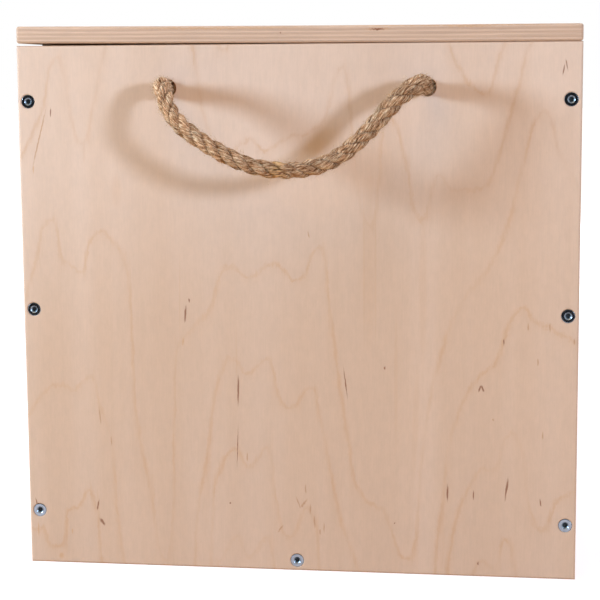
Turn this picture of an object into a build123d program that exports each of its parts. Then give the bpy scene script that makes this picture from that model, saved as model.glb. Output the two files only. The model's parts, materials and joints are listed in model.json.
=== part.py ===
from build123d import *
import math
import os

# A plywood chuck box: two end panels over two long walls and a bottom, a lift-off lid on a locating
# frame, a rope handle through each end, and inside a lift-out tray above a lift-out divider.
#
# Millimetres, +Z up. The origin is the middle of the footprint, on the surface the box stands on.
# X runs across the end panels, Y along the long walls; the front end panel faces -Y.

# ---------------------------------------------------------------- driving dimensions: the case
box_width = 400.0          # outside, across an end panel
box_length = 600.0         # outside, over both end panels
wall_height = 380.0        # end panels and long walls, without the lid
ply = 12.0                 # plywood of the end panels, walls and bottom
edge_ease = 1.5            # rounding of the case's outer edges

# ---------------------------------------------------------------- the lid and its locating frame
lid_thickness = 12.0
lid_ease = 2.0             # rounding of the lid's edges
batten_thickness = 12.0    # how far the frame hangs below the lid
batten_width = 25.0
lid_clearance = 3.0        # between the frame and the walls, all round
batten_screw_inset = 60.0  # from a batten's end to its first screw

# ---------------------------------------------------------------- rope handles
rope_diameter = 12.0
rope_hole_diameter = 13.0
handle_pitch = 184.0       # between the two holes of a handle
handle_off_centre = 1.5    # the pair sits this far to the right, seen from outside
handle_drop = 30.5         # from the walls' top edge to the holes
handle_hinge_out = 9.0     # the loop turns about a line this far outside the panel
soft_gap = 0.3             # between rope ends that move against each other
knot_length = 26.0
knot_radius = 15.0
knot_rounding = 6.0        # of the knot's two shoulders
knot_tail = 14.0

# ---------------------------------------------------------------- screws: head, shank, length, recess
wall_screw = dict(head=9.6, shank=5.0, length=50.0, recess=4.5, recess_depth=2.2)
strip_screw = dict(head=7.0, shank=3.5, length=20.0, recess=3.3, recess_depth=1.6)
tray_screw = dict(head=6.0, shank=3.0, length=20.0, recess=2.8, recess_depth=1.3)
head_rim = 0.3             # straight edge of a head, above its cone
recess_core = 0.74         # the drive recess between its lobes, as a share of its width
recess_lobe = 0.26         # one lobe's width, as a share of the recess's
head_sink = 0.3            # a head lies this far below the wood's face
screw_fit = 0.05           # radial room between a screw and its hole
screw_tip = 4.0            # length of a screw's point
screw_end = 0.2            # the blunt end of the point, as a share of the shank
hole_spare = 0.5           # a blind hole is this much deeper than its screw
overcut = 1.0              # a screw hole's cutter starts this far above the wood

end_screw_inset = 7.5      # from an end panel's side edge to its screws
end_screw_top = 39.5       # from the walls' top edge to the highest screws
end_screw_bottom = 39.5    # from the floor to the lowest side screws
bottom_screw_height = 7.5  # the screws into the bottom panel's edges
side_screw_pitch = 200.0   # along the long walls, into the bottom

# ---------------------------------------------------------------- ledges, divider and its guides
ledge_width = 12.0         # how far a ledge stands out from its wall
ledge_height = 20.0
ledge_screw_inset = 40.0
divider_thickness = 12.0
divider_offset = 80.0      # from the middle of the box towards the rear
divider_slot_clearance = 0.5   # on each face of the divider
divider_end_clearance = 1.5    # between the divider and each long wall
divider_headroom = 12.0    # between the divider and the tray
divider_notch_width = 100.0
divider_notch_depth = 25.0
guide_width = 20.0
guide_screw_inset = 35.0   # from a guide's end to its screw

# ---------------------------------------------------------------- the tray
tray_board = 9.0           # plywood of its sides and ends
tray_base = 6.0            # plywood of its bottom
tray_depth = 84.0          # height of its sides above its bottom
tray_headroom = 16.0       # between the tray and the lid's frame
tray_clearance = 2.0       # between the tray and each long wall
tray_end_clearance = 8.0   # between the tray and the rope's knotted ends
tray_grip_width = 90.0
tray_grip_height = 26.0
tray_grip_drop = 33.0      # from the tray's top edge to the middle of the grip
tray_ease = 1.0
tray_corner_inset = 18.0   # from a board's edge to the nearest corner screw
tray_base_inset = 36.0     # from the tray's outside to the nearest bottom screw

# Each handle's loop, one control point after another. A point is given as how far it lies inwards of
# the nearer hole, how far outside the panel's face, and how far above the hole.
loop_left = [
    (0.0, 9.0, 0.0),
    (0.2, 19.5, 0.0),
    (1.2, 29.2, -0.6),
    (3.8, 37.0, -5.4),
    (8.4, 43.2, -13.0),
    (17.0, 48.0, -22.5),
    (30.5, 51.0, -33.0),
    (50.0, 54.0, -44.0),
    (73.0, 56.0, -52.5),
]
loop_right = [
    (0.0, 9.0, 0.0),
    (1.2, 19.5, 0.0),
    (5.2, 29.3, 0.2),
    (12.5, 37.6, -3.0),
    (23.5, 44.0, -12.0),
    (37.0, 49.5, -28.5),
    (57.0, 54.0, -46.0),
    (80.0, 56.5, -55.0),
]

# ---------------------------------------------------------------- derived sizes
half_width = box_width / 2
half_length = box_length / 2
inner_width = box_width - 2 * ply
inner_length = box_length - 2 * ply
inner_x = inner_width / 2
inner_y = inner_length / 2
rope_radius = rope_diameter / 2
handle_z = wall_height - handle_drop
divider_slot = divider_thickness / 2 + divider_slot_clearance
tray_x = inner_x - tray_clearance
tray_y = inner_y - knot_length - knot_tail - tray_end_clearance
tray_top = wall_height - batten_thickness - tray_headroom
base_top = tray_top - tray_depth
ledge_top = base_top - tray_base
cut_through = 3 * ply      # a cutter this long goes through any board
SIDES = {"left": -1, "right": 1}
ENDS = {"front": -1, "rear": 1}


def board(low, high):
    """A rectangular board between two corners."""
    size = [b - a for a, b in zip(low, high)]
    centre = [(a + b) / 2 for a, b in zip(low, high)]
    return Pos(*centre) * Box(*size)


def span(a, b):
    """Two values in rising order, for boards that are mirrored."""
    return (a, b) if a < b else (b, a)


def spread(first, last, count):
    """Evenly spaced values from first to last."""
    step = (last - first) / (count - 1)
    return [first + step * i for i in range(count)]


# ---------------------------------------------------------------- screws and their holes
def turned(profile):
    """A solid turned about the Z axis from (radius, z) points."""
    return revolve(make_face(Polyline(*[(r, 0, z) for r, z in profile], close=True)), Axis.Z)


def recess_outline(width):
    """The six-lobed star of a screw's drive recess."""
    lobe = width * recess_lobe / 2
    star = Circle(width * recess_core / 2)
    for place in PolarLocations(width / 2 - lobe, 6):
        star += place * Circle(lobe)
    return star


def screw(kind):
    """A countersunk screw, its head's face at z = 0 and its point down."""
    head, shank = kind["head"] / 2, kind["shank"] / 2
    neck = -head_rim - (head - shank)
    body = turned([
        (0, 0),
        (head, 0),
        (head, -head_rim),
        (shank, neck),
        (shank, screw_tip - kind["length"]),
        (shank * screw_end, -kind["length"]),
        (0, -kind["length"]),
    ])
    return body - extrude(recess_outline(kind["recess"]), amount=-kind["recess_depth"])


def screw_hole(kind):
    """The countersunk hole for a screw, with its room, running out above the wood."""
    head, shank = kind["head"] / 2 + screw_fit, kind["shank"] / 2 + screw_fit
    above = head_sink + overcut
    depth = kind["length"] + hole_spare
    return turned([
        (0, above),
        (head + head_rim + above, above),
        (shank, -head_rim - (head - shank)),
        (shank, -depth),
        (0, -depth),
    ])


def seat(face_point, into):
    """Where a screw lies that is driven at a point of a face, along the direction into."""
    along = Vector(*into)
    return Plane(origin=Vector(*face_point) + along * head_sink, z_dir=-along).location


def drive(kind, places, node, boards):
    """Drill the boards for the screws at the places, and keep the screws as one node."""
    hole, one = screw_hole(kind), screw(kind)
    cutters = [place * hole for place in places]
    for name in boards:
        nodes[name] = nodes[name] - cutters
    nodes[node] = Compound(children=[place * one for place in places])


nodes = {}

# ---------------------------------------------------------------- the case
for end, sign in ENDS.items():
    y_low, y_high = span(sign * inner_y, sign * half_length)
    panel = board((-half_width, y_low, 0), (half_width, y_high, wall_height))
    outer_face = panel.faces().sort_by(Axis.Y)[0 if sign < 0 else -1]
    panel = fillet(outer_face.edges(), edge_ease)
    for side in SIDES.values():
        hole_x = side * handle_pitch / 2 - sign * handle_off_centre
        bore = Pos(hole_x, sign * half_length, handle_z) * Rot(90, 0, 0)
        panel = panel - bore * Cylinder(rope_hole_diameter / 2, cut_through)
    nodes[f"end_panel_{end}"] = panel

for side, sign in SIDES.items():
    x_low, x_high = span(sign * inner_x, sign * half_width)
    wall = board((x_low, -inner_y, 0), (x_high, inner_y, wall_height))
    outer_face = wall.faces().sort_by(Axis.X)[0 if sign < 0 else -1]
    wall = fillet(outer_face.edges().filter_by(Axis.Y), edge_ease)
    nodes[f"side_panel_{side}"] = wall

nodes["bottom_panel"] = board((-inner_x, -inner_y, 0), (inner_x, inner_y, ply))

screw_x = half_width - end_screw_inset
screw_rows = spread(end_screw_bottom, wall_height - end_screw_top, 3)
for end, sign in ENDS.items():
    points = [(side * screw_x, sign * half_length, z) for side in SIDES.values() for z in screw_rows]
    points.append((0, sign * half_length, bottom_screw_height))
    places = [seat(point, (0, -sign, 0)) for point in points]
    drive(wall_screw, places, f"end_screws_{end}",
          [f"end_panel_{end}", "side_panel_left", "side_panel_right", "bottom_panel"])

for side, sign in SIDES.items():
    places = [seat((sign * half_width, y, bottom_screw_height), (-sign, 0, 0))
              for y in spread(-side_screw_pitch, side_screw_pitch, 3)]
    drive(wall_screw, places, f"bottom_screws_{side}", [f"side_panel_{side}", "bottom_panel"])

# ---------------------------------------------------------------- ledges and divider guides
ledge_x = inner_x - ledge_width
ledge_low = ledge_top - ledge_height
# each run of ledge goes from an end panel to the divider's slot
ledge_runs = {
    "front": (-inner_y, divider_offset - divider_slot),
    "rear": (divider_offset + divider_slot, inner_y),
}
guide_runs = {
    "front": (ledge_runs["front"][1] - guide_width, ledge_runs["front"][1]),
    "rear": (ledge_runs["rear"][0], ledge_runs["rear"][0] + guide_width),
}
for side, sign in SIDES.items():
    x_low, x_high = span(sign * ledge_x, sign * inner_x)
    wall_name = f"side_panel_{side}"
    for end in ENDS:
        y_low, y_high = ledge_runs[end]
        ledge = f"ledge_{side}_{end}"
        nodes[ledge] = board((x_low, y_low, ledge_low), (x_high, y_high, ledge_top))
        ledge_y = spread(y_low + ledge_screw_inset, y_high - ledge_screw_inset, 3)
        places = [seat((sign * ledge_x, y, ledge_low + ledge_height / 2), (sign, 0, 0)) for y in ledge_y]
        drive(strip_screw, places, f"ledge_screws_{side}_{end}", [ledge, wall_name])

        y_low, y_high = guide_runs[end]
        guide = f"divider_guide_{side}_{end}"
        nodes[guide] = board((x_low, y_low, ply), (x_high, y_high, ledge_low))
        guide_z = (ply + guide_screw_inset, ledge_low - guide_screw_inset)
        places = [seat((sign * ledge_x, (y_low + y_high) / 2, z), (sign, 0, 0)) for z in guide_z]
        drive(strip_screw, places, f"guide_screws_{side}_{end}", [guide, wall_name])

# ---------------------------------------------------------------- the divider
divider_x = inner_x - divider_end_clearance
divider_top = ledge_top - divider_headroom
divider = board((-divider_x, divider_offset - divider_thickness / 2, ply),
                (divider_x, divider_offset + divider_thickness / 2, divider_top))
notch = extrude(SlotOverall(divider_notch_width, 2 * divider_notch_depth), cut_through, both=True)
nodes["divider_panel"] = divider - Pos(0, divider_offset, divider_top) * Rot(90, 0, 0) * notch

# ---------------------------------------------------------------- the tray
nodes["tray_bottom"] = board((-tray_x, -tray_y, ledge_top), (tray_x, tray_y, base_top))
for end, sign in ENDS.items():
    y_low, y_high = span(sign * (tray_y - tray_board), sign * tray_y)
    tray_end = board((-tray_x, y_low, base_top), (tray_x, y_high, tray_top))
    tray_end = fillet(tray_end.faces().sort_by(Axis.Z)[-1].edges().filter_by(Axis.X), tray_ease)
    grip = extrude(SlotOverall(tray_grip_width, tray_grip_height), cut_through, both=True)
    tray_end = tray_end - Pos(0, sign * tray_y, tray_top - tray_grip_drop) * Rot(90, 0, 0) * grip
    nodes[f"tray_end_{end}"] = tray_end
for side, sign in SIDES.items():
    x_low, x_high = span(sign * (tray_x - tray_board), sign * tray_x)
    tray_side = board((x_low, tray_board - tray_y, base_top), (x_high, tray_y - tray_board, tray_top))
    tray_side = fillet(tray_side.faces().sort_by(Axis.Z)[-1].edges().filter_by(Axis.Y), tray_ease)
    nodes[f"tray_side_{side}"] = tray_side

corner_x = tray_x - tray_board / 2
for end, sign in ENDS.items():
    points = [(side * corner_x, sign * tray_y, z) for side in SIDES.values()
              for z in (base_top + tray_corner_inset, tray_top - tray_corner_inset)]
    drive(tray_screw, [seat(point, (0, -sign, 0)) for point in points], f"tray_corner_screws_{end}",
          [f"tray_end_{end}", "tray_side_left", "tray_side_right"])

base_points = [(side * corner_x, y, ledge_top) for side in SIDES.values()
               for y in spread(tray_base_inset - tray_y, tray_y - tray_base_inset, 4)]
base_points += [(x, sign * (tray_y - tray_board / 2), ledge_top) for sign in ENDS.values()
                for x in spread(tray_base_inset - tray_x, tray_x - tray_base_inset, 3)]
drive(tray_screw, [seat(point, (0, 0, 1)) for point in base_points], "tray_bottom_screws",
      ["tray_bottom", "tray_end_front", "tray_end_rear", "tray_side_left", "tray_side_right"])

# ---------------------------------------------------------------- the lid
lid = board((-half_width, -half_length, wall_height),
            (half_width, half_length, wall_height + lid_thickness))
nodes["lid_panel"] = fillet(lid.edges(), lid_ease)
frame_x = inner_x - lid_clearance
frame_y = inner_y - lid_clearance
batten_low = wall_height - batten_thickness
for side, sign in SIDES.items():
    x_low, x_high = span(sign * (frame_x - batten_width), sign * frame_x)
    name = f"lid_batten_{side}"
    nodes[name] = board((x_low, -frame_y, batten_low), (x_high, frame_y, wall_height))
    batten_y = spread(batten_screw_inset - frame_y, frame_y - batten_screw_inset, 4)
    places = [seat(((x_low + x_high) / 2, y, batten_low), (0, 0, 1)) for y in batten_y]
    drive(strip_screw, places, f"lid_screws_{side}", [name, "lid_panel"])
cross_x = frame_x - batten_width
for end, sign in ENDS.items():
    y_low, y_high = span(sign * (frame_y - batten_width), sign * frame_y)
    name = f"lid_batten_{end}"
    nodes[name] = board((-cross_x, y_low, batten_low), (cross_x, y_high, wall_height))
    batten_x = spread(batten_screw_inset - cross_x, cross_x - batten_screw_inset, 3)
    places = [seat((x, (y_low + y_high) / 2, batten_low), (0, 0, 1)) for x in batten_x]
    drive(strip_screw, places, f"lid_screws_{end}", [name, "lid_panel"])


# ---------------------------------------------------------------- rope handles and their knots
def loop_points():
    """The front handle's control points, from the left hole to the right one."""
    left_x = handle_off_centre - handle_pitch / 2
    right_x = handle_off_centre + handle_pitch / 2
    points = [(left_x + inward, -half_length - out, handle_z + up) for inward, out, up in loop_left]
    points += [(right_x - inward, -half_length - out, handle_z + up)
               for inward, out, up in reversed(loop_right)]
    return [Vector(*point) for point in points]


def bend_radii(points):
    """Each corner's arc: 0.45 of its shorter run over the tangent of half its turn."""
    radii = []
    for before, corner, after in zip(points, points[1:], points[2:]):
        run_in, run_out = corner - before, after - corner
        half_turn = math.radians(run_in.get_angle(run_out)) / 2
        radii.append(0.45 * min(run_in.length, run_out.length) / math.tan(half_turn))
    return radii


def rope_loop():
    """The front loop: a tube along straight runs and tangent arcs, with a ball at each end."""
    points = loop_points()
    radii = bend_radii(points)
    path = FilletPolyline(*points, radius=radii)
    start = Plane(origin=points[0], z_dir=points[1] - points[0])
    tube = sweep(start * Circle(rope_radius), path=path)
    print("rope bend radii:", " ".join(f"{r:.0f}" for r in radii))
    print(f"rope loop: length {path.length:.1f}, tube volume {tube.volume:.0f}, "
          f"section x length {math.pi * rope_radius ** 2 * path.length:.0f}")
    return tube + [Pos(*end) * Sphere(rope_radius) for end in (points[0], points[-1])]


def knotted_end():
    """A rope's end: its stretch through the panel, its stopper knot and its tail, turned about Z.

    The panel's inner face is at z = 0 and the outside is below it."""
    stub = ply + handle_hinge_out - rope_radius - soft_gap
    knot = Pos(0, 0, knot_length / 2) * Cylinder(knot_radius, knot_length)
    knot = fillet(knot.edges(), knot_rounding)
    rope = Pos(0, 0, (knot_length + knot_tail - stub) / 2)
    return knot + rope * Cylinder(rope_radius, stub + knot_length + knot_tail)


front_loop = rope_loop()
for end, sign in ENDS.items():
    turn = Rot(0, 0, 0 if sign < 0 else 180)
    nodes[f"rope_handle_{end}"] = turn * front_loop
    for side, across in SIDES.items():
        knot_x = across * handle_pitch / 2 + handle_off_centre
        place = turn * Pos(knot_x, -inner_y, handle_z) * Rot(-90, 0, 0)
        nodes[f"rope_knot_{end}_{side}"] = place * knotted_end()

# ---------------------------------------------------------------- one file for each piece
os.makedirs("parts", exist_ok=True)
for name, shape in nodes.items():
    export_step(shape, f"parts/{name}.step")
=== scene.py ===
import json
import math

import bmesh
import bpy
import numpy as np
from bpy.props import FloatProperty, FloatVectorProperty, IntProperty, PointerProperty
from mathutils import Matrix, Vector, noise

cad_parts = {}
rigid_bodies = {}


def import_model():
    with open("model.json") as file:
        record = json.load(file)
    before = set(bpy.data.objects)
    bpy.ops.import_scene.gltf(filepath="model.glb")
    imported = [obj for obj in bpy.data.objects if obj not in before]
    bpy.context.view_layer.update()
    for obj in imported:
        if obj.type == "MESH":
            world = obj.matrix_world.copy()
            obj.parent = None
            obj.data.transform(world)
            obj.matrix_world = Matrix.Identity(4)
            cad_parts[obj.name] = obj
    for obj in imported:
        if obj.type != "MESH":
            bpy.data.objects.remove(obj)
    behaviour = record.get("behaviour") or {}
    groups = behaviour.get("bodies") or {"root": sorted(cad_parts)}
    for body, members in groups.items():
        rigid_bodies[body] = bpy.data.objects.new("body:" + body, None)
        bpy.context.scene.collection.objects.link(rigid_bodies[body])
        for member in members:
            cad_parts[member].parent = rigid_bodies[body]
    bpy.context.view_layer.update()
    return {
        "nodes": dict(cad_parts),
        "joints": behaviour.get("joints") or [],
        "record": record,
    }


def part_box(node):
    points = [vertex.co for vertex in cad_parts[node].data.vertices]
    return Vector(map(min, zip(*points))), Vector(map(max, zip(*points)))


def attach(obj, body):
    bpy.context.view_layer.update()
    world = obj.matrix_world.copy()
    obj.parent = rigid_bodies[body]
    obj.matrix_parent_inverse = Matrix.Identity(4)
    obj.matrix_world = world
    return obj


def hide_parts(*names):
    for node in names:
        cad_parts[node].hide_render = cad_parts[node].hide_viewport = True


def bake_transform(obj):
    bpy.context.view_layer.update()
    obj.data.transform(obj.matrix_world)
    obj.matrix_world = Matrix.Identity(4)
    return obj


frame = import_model()

bl_info = {
    "name": "Chuck Box Finish",
    "version": (1, 0, 0),
    "blender": (4, 5, 0),
    "location": "3D View > Sidebar > Chuck Box",
    "description": "Dresses a plywood chuck box: veneered boards, rope handles and countersunk screws",
    "category": "Object",
}

MM = 0.001
SIDES = {"left": -1, "right": 1}
ENDS = {"front": -1, "rear": 1}
WHITE, BLACK = (1.0, 1.0, 1.0, 1.0), (0.0, 0.0, 0.0, 1.0)
VECTOR, COLOUR, NUMBER = "NodeSocketVector", "NodeSocketColor", "NodeSocketFloat"

# ---------------------------------------------------------------- places read from the frame
panel_low, panel_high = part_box("end_panel_front")
FACE_Y = panel_low.y                      # the front end panel's outer face
INNER_Y = panel_high.y                    # and its inner face
PANEL_THICKNESS = INNER_Y - FACE_Y
HALF_WIDTH = panel_high.x
hinges = {j["name"]: Vector(j["pos_m"]) for j in frame["joints"] if "pos_m" in j}
HOLE_Z = hinges["handle_front_swing"].z
HANDLE_MIDDLE = hinges["handle_front_swing"].x

# ---------------------------------------------------------------- the rope's route
# Each loop's control points in metres: how far inwards from the nearer hole, outside the panel's
# face, and above the hole.
HANDLE_PITCH = 0.184
LOOP_LEFT = [
    (-0.0008, 0.009, 0.0),
    (0.0003, 0.0188, 0.0020),
    (0.0022, 0.0276, 0.0022),
    (0.0050, 0.0350, -0.0024),
    (0.0096, 0.0416, -0.013),
    (0.017, 0.0484, -0.0224),
    (0.0312, 0.053, -0.0329),
    (0.0505, 0.055, -0.0442),
    (0.073, 0.0545, -0.0536),
]
LOOP_RIGHT = [
    (0.0005, 0.009, 0.0),
    (0.0008, 0.017, 0.0016),
    (0.0024, 0.025, 0.0024),
    (0.0066, 0.0314, 0.0008),
    (0.0132, 0.0356, -0.0034),
    (0.0214, 0.0382, -0.0108),
    (0.0354, 0.0402, -0.0282),
    (0.0568, 0.044, -0.0472),
    (0.0805, 0.0502, -0.0554),
]


# ---------------------------------------------------------------- settings a user would change
class RopeSettings(bpy.types.PropertyGroup):
    """The laid rope of the handles."""
    diameter: FloatProperty(name="Diameter", description="Over the crests of the strands",
                            default=0.012, min=0.004, unit="LENGTH")
    lay: FloatProperty(name="Lay", description="Length in which a strand makes one turn",
                       default=0.033, min=0.01, unit="LENGTH")
    yarns: IntProperty(name="Yarns", description="Bundles of fibre round one strand",
                       default=13, min=3)
    yarn_depth: FloatProperty(name="Yarn Depth", description="Depth of the grooves between the yarns",
                              default=0.00015, min=0.0, unit="LENGTH")
    hairs: FloatProperty(name="Hairs", description="Stray fibres per square metre of rope",
                         default=330000.0, min=0.0)
    hair_length: FloatProperty(name="Hair Length", description="Length of a stray fibre",
                               default=0.0038, min=0.0, unit="LENGTH")
    hair_radius: FloatProperty(name="Hair Radius", description="Half the thickness of a stray fibre",
                               default=0.00009, min=0.00001, unit="LENGTH")
    light: FloatVectorProperty(name="Light Fibre", description="Colour of the palest fibres",
                               default=(0.88, 0.685, 0.49), subtype="COLOR")
    middle: FloatVectorProperty(name="Fibre", description="Colour of most of the rope",
                                default=(0.565, 0.312, 0.176), subtype="COLOR")
    dark: FloatVectorProperty(name="Dark Fibre", description="Colour of the darkest fibres",
                              default=(0.165, 0.061, 0.024), subtype="COLOR")


class PlywoodSettings(bpy.types.PropertyGroup):
    """The veneered boards."""
    pink: FloatVectorProperty(name="Veneer, Pinkish", description="Colour of the face veneer",
                              default=(0.672, 0.490, 0.394), subtype="COLOR")
    yellow: FloatVectorProperty(name="Veneer, Yellowish",
                                description="Second colour of the face veneer",
                                default=(0.597, 0.404, 0.295), subtype="COLOR")
    growth: FloatVectorProperty(name="Growth Line", description="Colour of the late wood's lines",
                                default=(0.53, 0.278, 0.135), subtype="COLOR")
    long_ply: FloatVectorProperty(name="Long Ply", description="A ply seen along its grain",
                                  default=(0.625, 0.428, 0.320), subtype="COLOR")
    end_ply: FloatVectorProperty(name="End Ply", description="A ply seen on its end grain",
                                 default=(0.545, 0.362, 0.267), subtype="COLOR")
    fleck: FloatVectorProperty(name="Fleck", description="Colour of the dark mineral flecks",
                               default=(0.22, 0.080, 0.038), subtype="COLOR")
    orange: FloatVectorProperty(name="Orange Fleck", description="Colour of the resin flecks",
                                default=(0.55, 0.30, 0.15), subtype="COLOR")
    face_ply: FloatProperty(name="Face Ply", description="Thickness of a face veneer after sanding",
                            default=0.00095, min=0.0003, unit="LENGTH")


class ScrewSettings(bpy.types.PropertyGroup):
    """The countersunk screws."""
    steel: FloatVectorProperty(name="Zinc", description="Colour of the zinc plating",
                               default=(0.295, 0.34, 0.395), subtype="COLOR")
    recess: FloatProperty(name="Recess", description="Width of the six-lobed recess, per head width",
                          default=0.35, min=0.2, max=0.8)
    collar: FloatProperty(name="Collar", description="Width of the sloping ring round the recess",
                          default=0.54, min=0.3, max=0.9)
    thread_pitch: FloatProperty(name="Thread Pitch", description="From turn to turn, per shank width",
                                default=0.5, min=0.2)
    seed: IntProperty(name="Seed", description="Chooses how far each screw was turned", default=4)


class LidSettings(bpy.types.PropertyGroup):
    """The lid, which is not quite flat."""
    lift_left: FloatProperty(name="Lift, Left", description="How far the front left corner stands up",
                             default=0.0018, min=0.0, unit="LENGTH")
    lift_right: FloatProperty(name="Lift, Right",
                              description="How far the front right corner stands up",
                              default=0.00008, min=0.0, unit="LENGTH")
    rest_y: FloatProperty(name="Resting Line",
                          description="Behind this line the lid lies on the walls",
                          default=0.12, unit="LENGTH")


class StageSettings(bpy.types.PropertyGroup):
    """The floor, the lamps and the camera."""
    floor: FloatVectorProperty(name="Floor", description="Colour of the floor",
                               default=(0.61, 0.36, 0.10), subtype="COLOR")
    ambient: FloatVectorProperty(name="Room", description="Light from all round",
                                 default=(0.16, 0.075, 0.020), subtype="COLOR", max=2.0)
    right_power: FloatProperty(name="Right Lamp", description="Power of the lamp at the front right",
                               default=35.6, min=0.0, unit="POWER")
    left_power: FloatProperty(name="Left Lamp", description="Power of the lamp at the front left",
                              default=33.9, min=0.0, unit="POWER")
    rear_power: FloatProperty(name="Rear Lamp", description="Power of the lamp behind the box",
                              default=32.0, min=0.0, unit="POWER")
    lid_power: FloatProperty(name="Lid Lamp", description="Power of the narrow lamp over the lid",
                             default=3.0, min=0.0, unit="POWER")
    top_power: FloatProperty(name="Top Lamp", description="Power of the warm lamp overhead",
                             default=5.6, min=0.0, unit="POWER")
    lens: FloatProperty(name="Lens", description="Focal length of the camera",
                        default=100.72, min=10.0, unit="CAMERA")


class ChuckBoxSettings(bpy.types.PropertyGroup):
    """Everything that can be changed about the chuck box."""
    rope: PointerProperty(type=RopeSettings)
    plywood: PointerProperty(type=PlywoodSettings)
    screws: PointerProperty(type=ScrewSettings)
    lid: PointerProperty(type=LidSettings)
    stage: PointerProperty(type=StageSettings)


def settings():
    return bpy.context.scene.chuck_box


# ---------------------------------------------------------------- node trees
class Net:
    """A node tree being filled. An input is given either a plain value or a socket to link."""

    def __init__(self, tree):
        self.tree = tree
        tree.nodes.clear()

    def node(self, kind, inputs=None, **choices):
        made = self.tree.nodes.new(kind)
        for name, value in choices.items():
            setattr(made, name, value)
        for key, value in (inputs or {}).items():
            self.feed(made.inputs[key], value)
        return made

    def feed(self, socket, value):
        if isinstance(value, bpy.types.NodeSocket):
            self.tree.links.new(value, socket)
        else:
            socket.default_value = value

    def math(self, operation, *values):
        return self.node("ShaderNodeMath", dict(enumerate(values)), operation=operation).outputs[0]

    def times(self, first, second):
        return self.math("MULTIPLY", first, second)

    def plus(self, first, second):
        return self.math("ADD", first, second)

    def minus(self, first, second):
        return self.math("SUBTRACT", first, second)

    def over(self, first, second):
        return self.math("DIVIDE", first, second)

    def vector(self, operation, *values):
        made = self.node("ShaderNodeVectorMath", dict(enumerate(values)), operation=operation)
        return made.outputs["Value" if operation in ("LENGTH", "DOT_PRODUCT") else "Vector"]

    def scaled(self, vector, by):
        return self.node("ShaderNodeVectorMath", {0: vector, 3: by}, operation="SCALE").outputs[0]

    def stretched(self, place, share):
        """The place, shrunk along its third axis, so that a pattern on it runs long that way."""
        return self.vector("MULTIPLY", place, (1.0, 1.0, share))

    def mix(self, share, first, second, mode="MIX"):
        made = self.node("ShaderNodeMix", {0: share, 6: first, 7: second}, data_type="RGBA",
                         blend_type=mode)
        return made.outputs[2]

    def toned(self, colour, tone):
        """The colour, made darker or lighter by a factor."""
        return self.mix(1.0, colour, self.join(tone, tone, tone), "MULTIPLY")

    def ramp(self, value, low, high, to_low=0.0, to_high=1.0):
        made = self.node("ShaderNodeMapRange", {0: value, 1: low, 2: high, 3: to_low, 4: to_high},
                         interpolation_type="SMOOTHSTEP")
        return made.outputs[0]

    def noise(self, place, scale=1.0, detail=2.0, roughness=0.5):
        made = self.node("ShaderNodeTexNoise", {"Vector": place, "Scale": scale, "Detail": detail,
                                                "Roughness": roughness})
        return made.outputs[0]

    def shaken(self, place, pattern_place, scale, detail, roughness, reach):
        """The place, moved at random by up to half of reach along each axis."""
        pattern = self.node("ShaderNodeTexNoise", {"Vector": pattern_place, "Scale": scale,
                                                   "Detail": detail, "Roughness": roughness})
        shift = self.vector("SUBTRACT", pattern.outputs["Color"], (0.5, 0.5, 0.5))
        return self.vector("ADD", place, self.vector("MULTIPLY", shift, reach))

    def split(self, vector):
        return self.node("ShaderNodeSeparateXYZ", {0: vector}).outputs[:3]

    def join(self, x=0.0, y=0.0, z=0.0):
        return self.node("ShaderNodeCombineXYZ", {0: x, 1: y, 2: z}).outputs[0]

    def profile(self, value, points):
        """A drawn curve: points from (0, y) to (1, y), joined smoothly."""
        made = self.node("ShaderNodeFloatCurve", {"Value": value})
        curve = made.mapping.curves[0]
        for point in points[2:]:
            curve.points.new(*point)
        for held, point in zip(curve.points, sorted(points)):
            held.location = point
            held.handle_type = "AUTO_CLAMPED"
        made.mapping.update()
        return made.outputs[0]

    def group(self, tree, inputs):
        made = self.node("ShaderNodeGroup", node_tree=tree)
        for key, value in inputs.items():
            self.feed(made.inputs[key], value)
        return made.outputs


def shader_group(name, inputs, outputs, fill):
    """A shader node group. inputs are (name, kind, default), outputs (name, kind), and fill returns the
    outputs' sockets from the net and the group's input sockets."""
    tree = bpy.data.node_groups.new(name, "ShaderNodeTree")
    for label, kind, default in inputs:
        tree.interface.new_socket(label, in_out="INPUT", socket_type=kind).default_value = default
    for label, kind in outputs:
        tree.interface.new_socket(label, in_out="OUTPUT", socket_type=kind)
    net = Net(tree)
    results = fill(net, net.node("NodeGroupInput").outputs)
    net.node("NodeGroupOutput", dict(enumerate(results)))
    return tree


def geometry_tree(name, inputs, fill):
    """A Geometry Nodes tree that turns the geometry given to it into finished, realized pieces."""
    tree = bpy.data.node_groups.new(name, "GeometryNodeTree")
    tree.interface.new_socket("Geometry", in_out="INPUT", socket_type="NodeSocketGeometry")
    for label, kind in inputs:
        tree.interface.new_socket(label, in_out="INPUT", socket_type=kind)
    tree.interface.new_socket("Geometry", in_out="OUTPUT", socket_type="NodeSocketGeometry")
    net = Net(tree)
    given = net.node("NodeGroupInput").outputs
    instances = fill(net, given)
    realized = net.node("GeometryNodeRealizeInstances", {"Geometry": instances}).outputs[0]
    painted = net.node("GeometryNodeSetMaterial", {"Geometry": realized, "Material": given["Material"]})
    net.node("NodeGroupOutput", {"Geometry": painted.outputs[0]})
    return tree


def added_object(name, data):
    made = bpy.data.objects.new(name, data)
    bpy.context.scene.collection.objects.link(made)
    return made


def store(mesh, name, values, kind="FLOAT"):
    """Keep a number or a vector with each point of a mesh, under a name that node trees can read."""
    field = "vector" if kind == "FLOAT_VECTOR" else "value"
    mesh.attributes.new(name, kind, "POINT").data.foreach_set(field, values)


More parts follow.
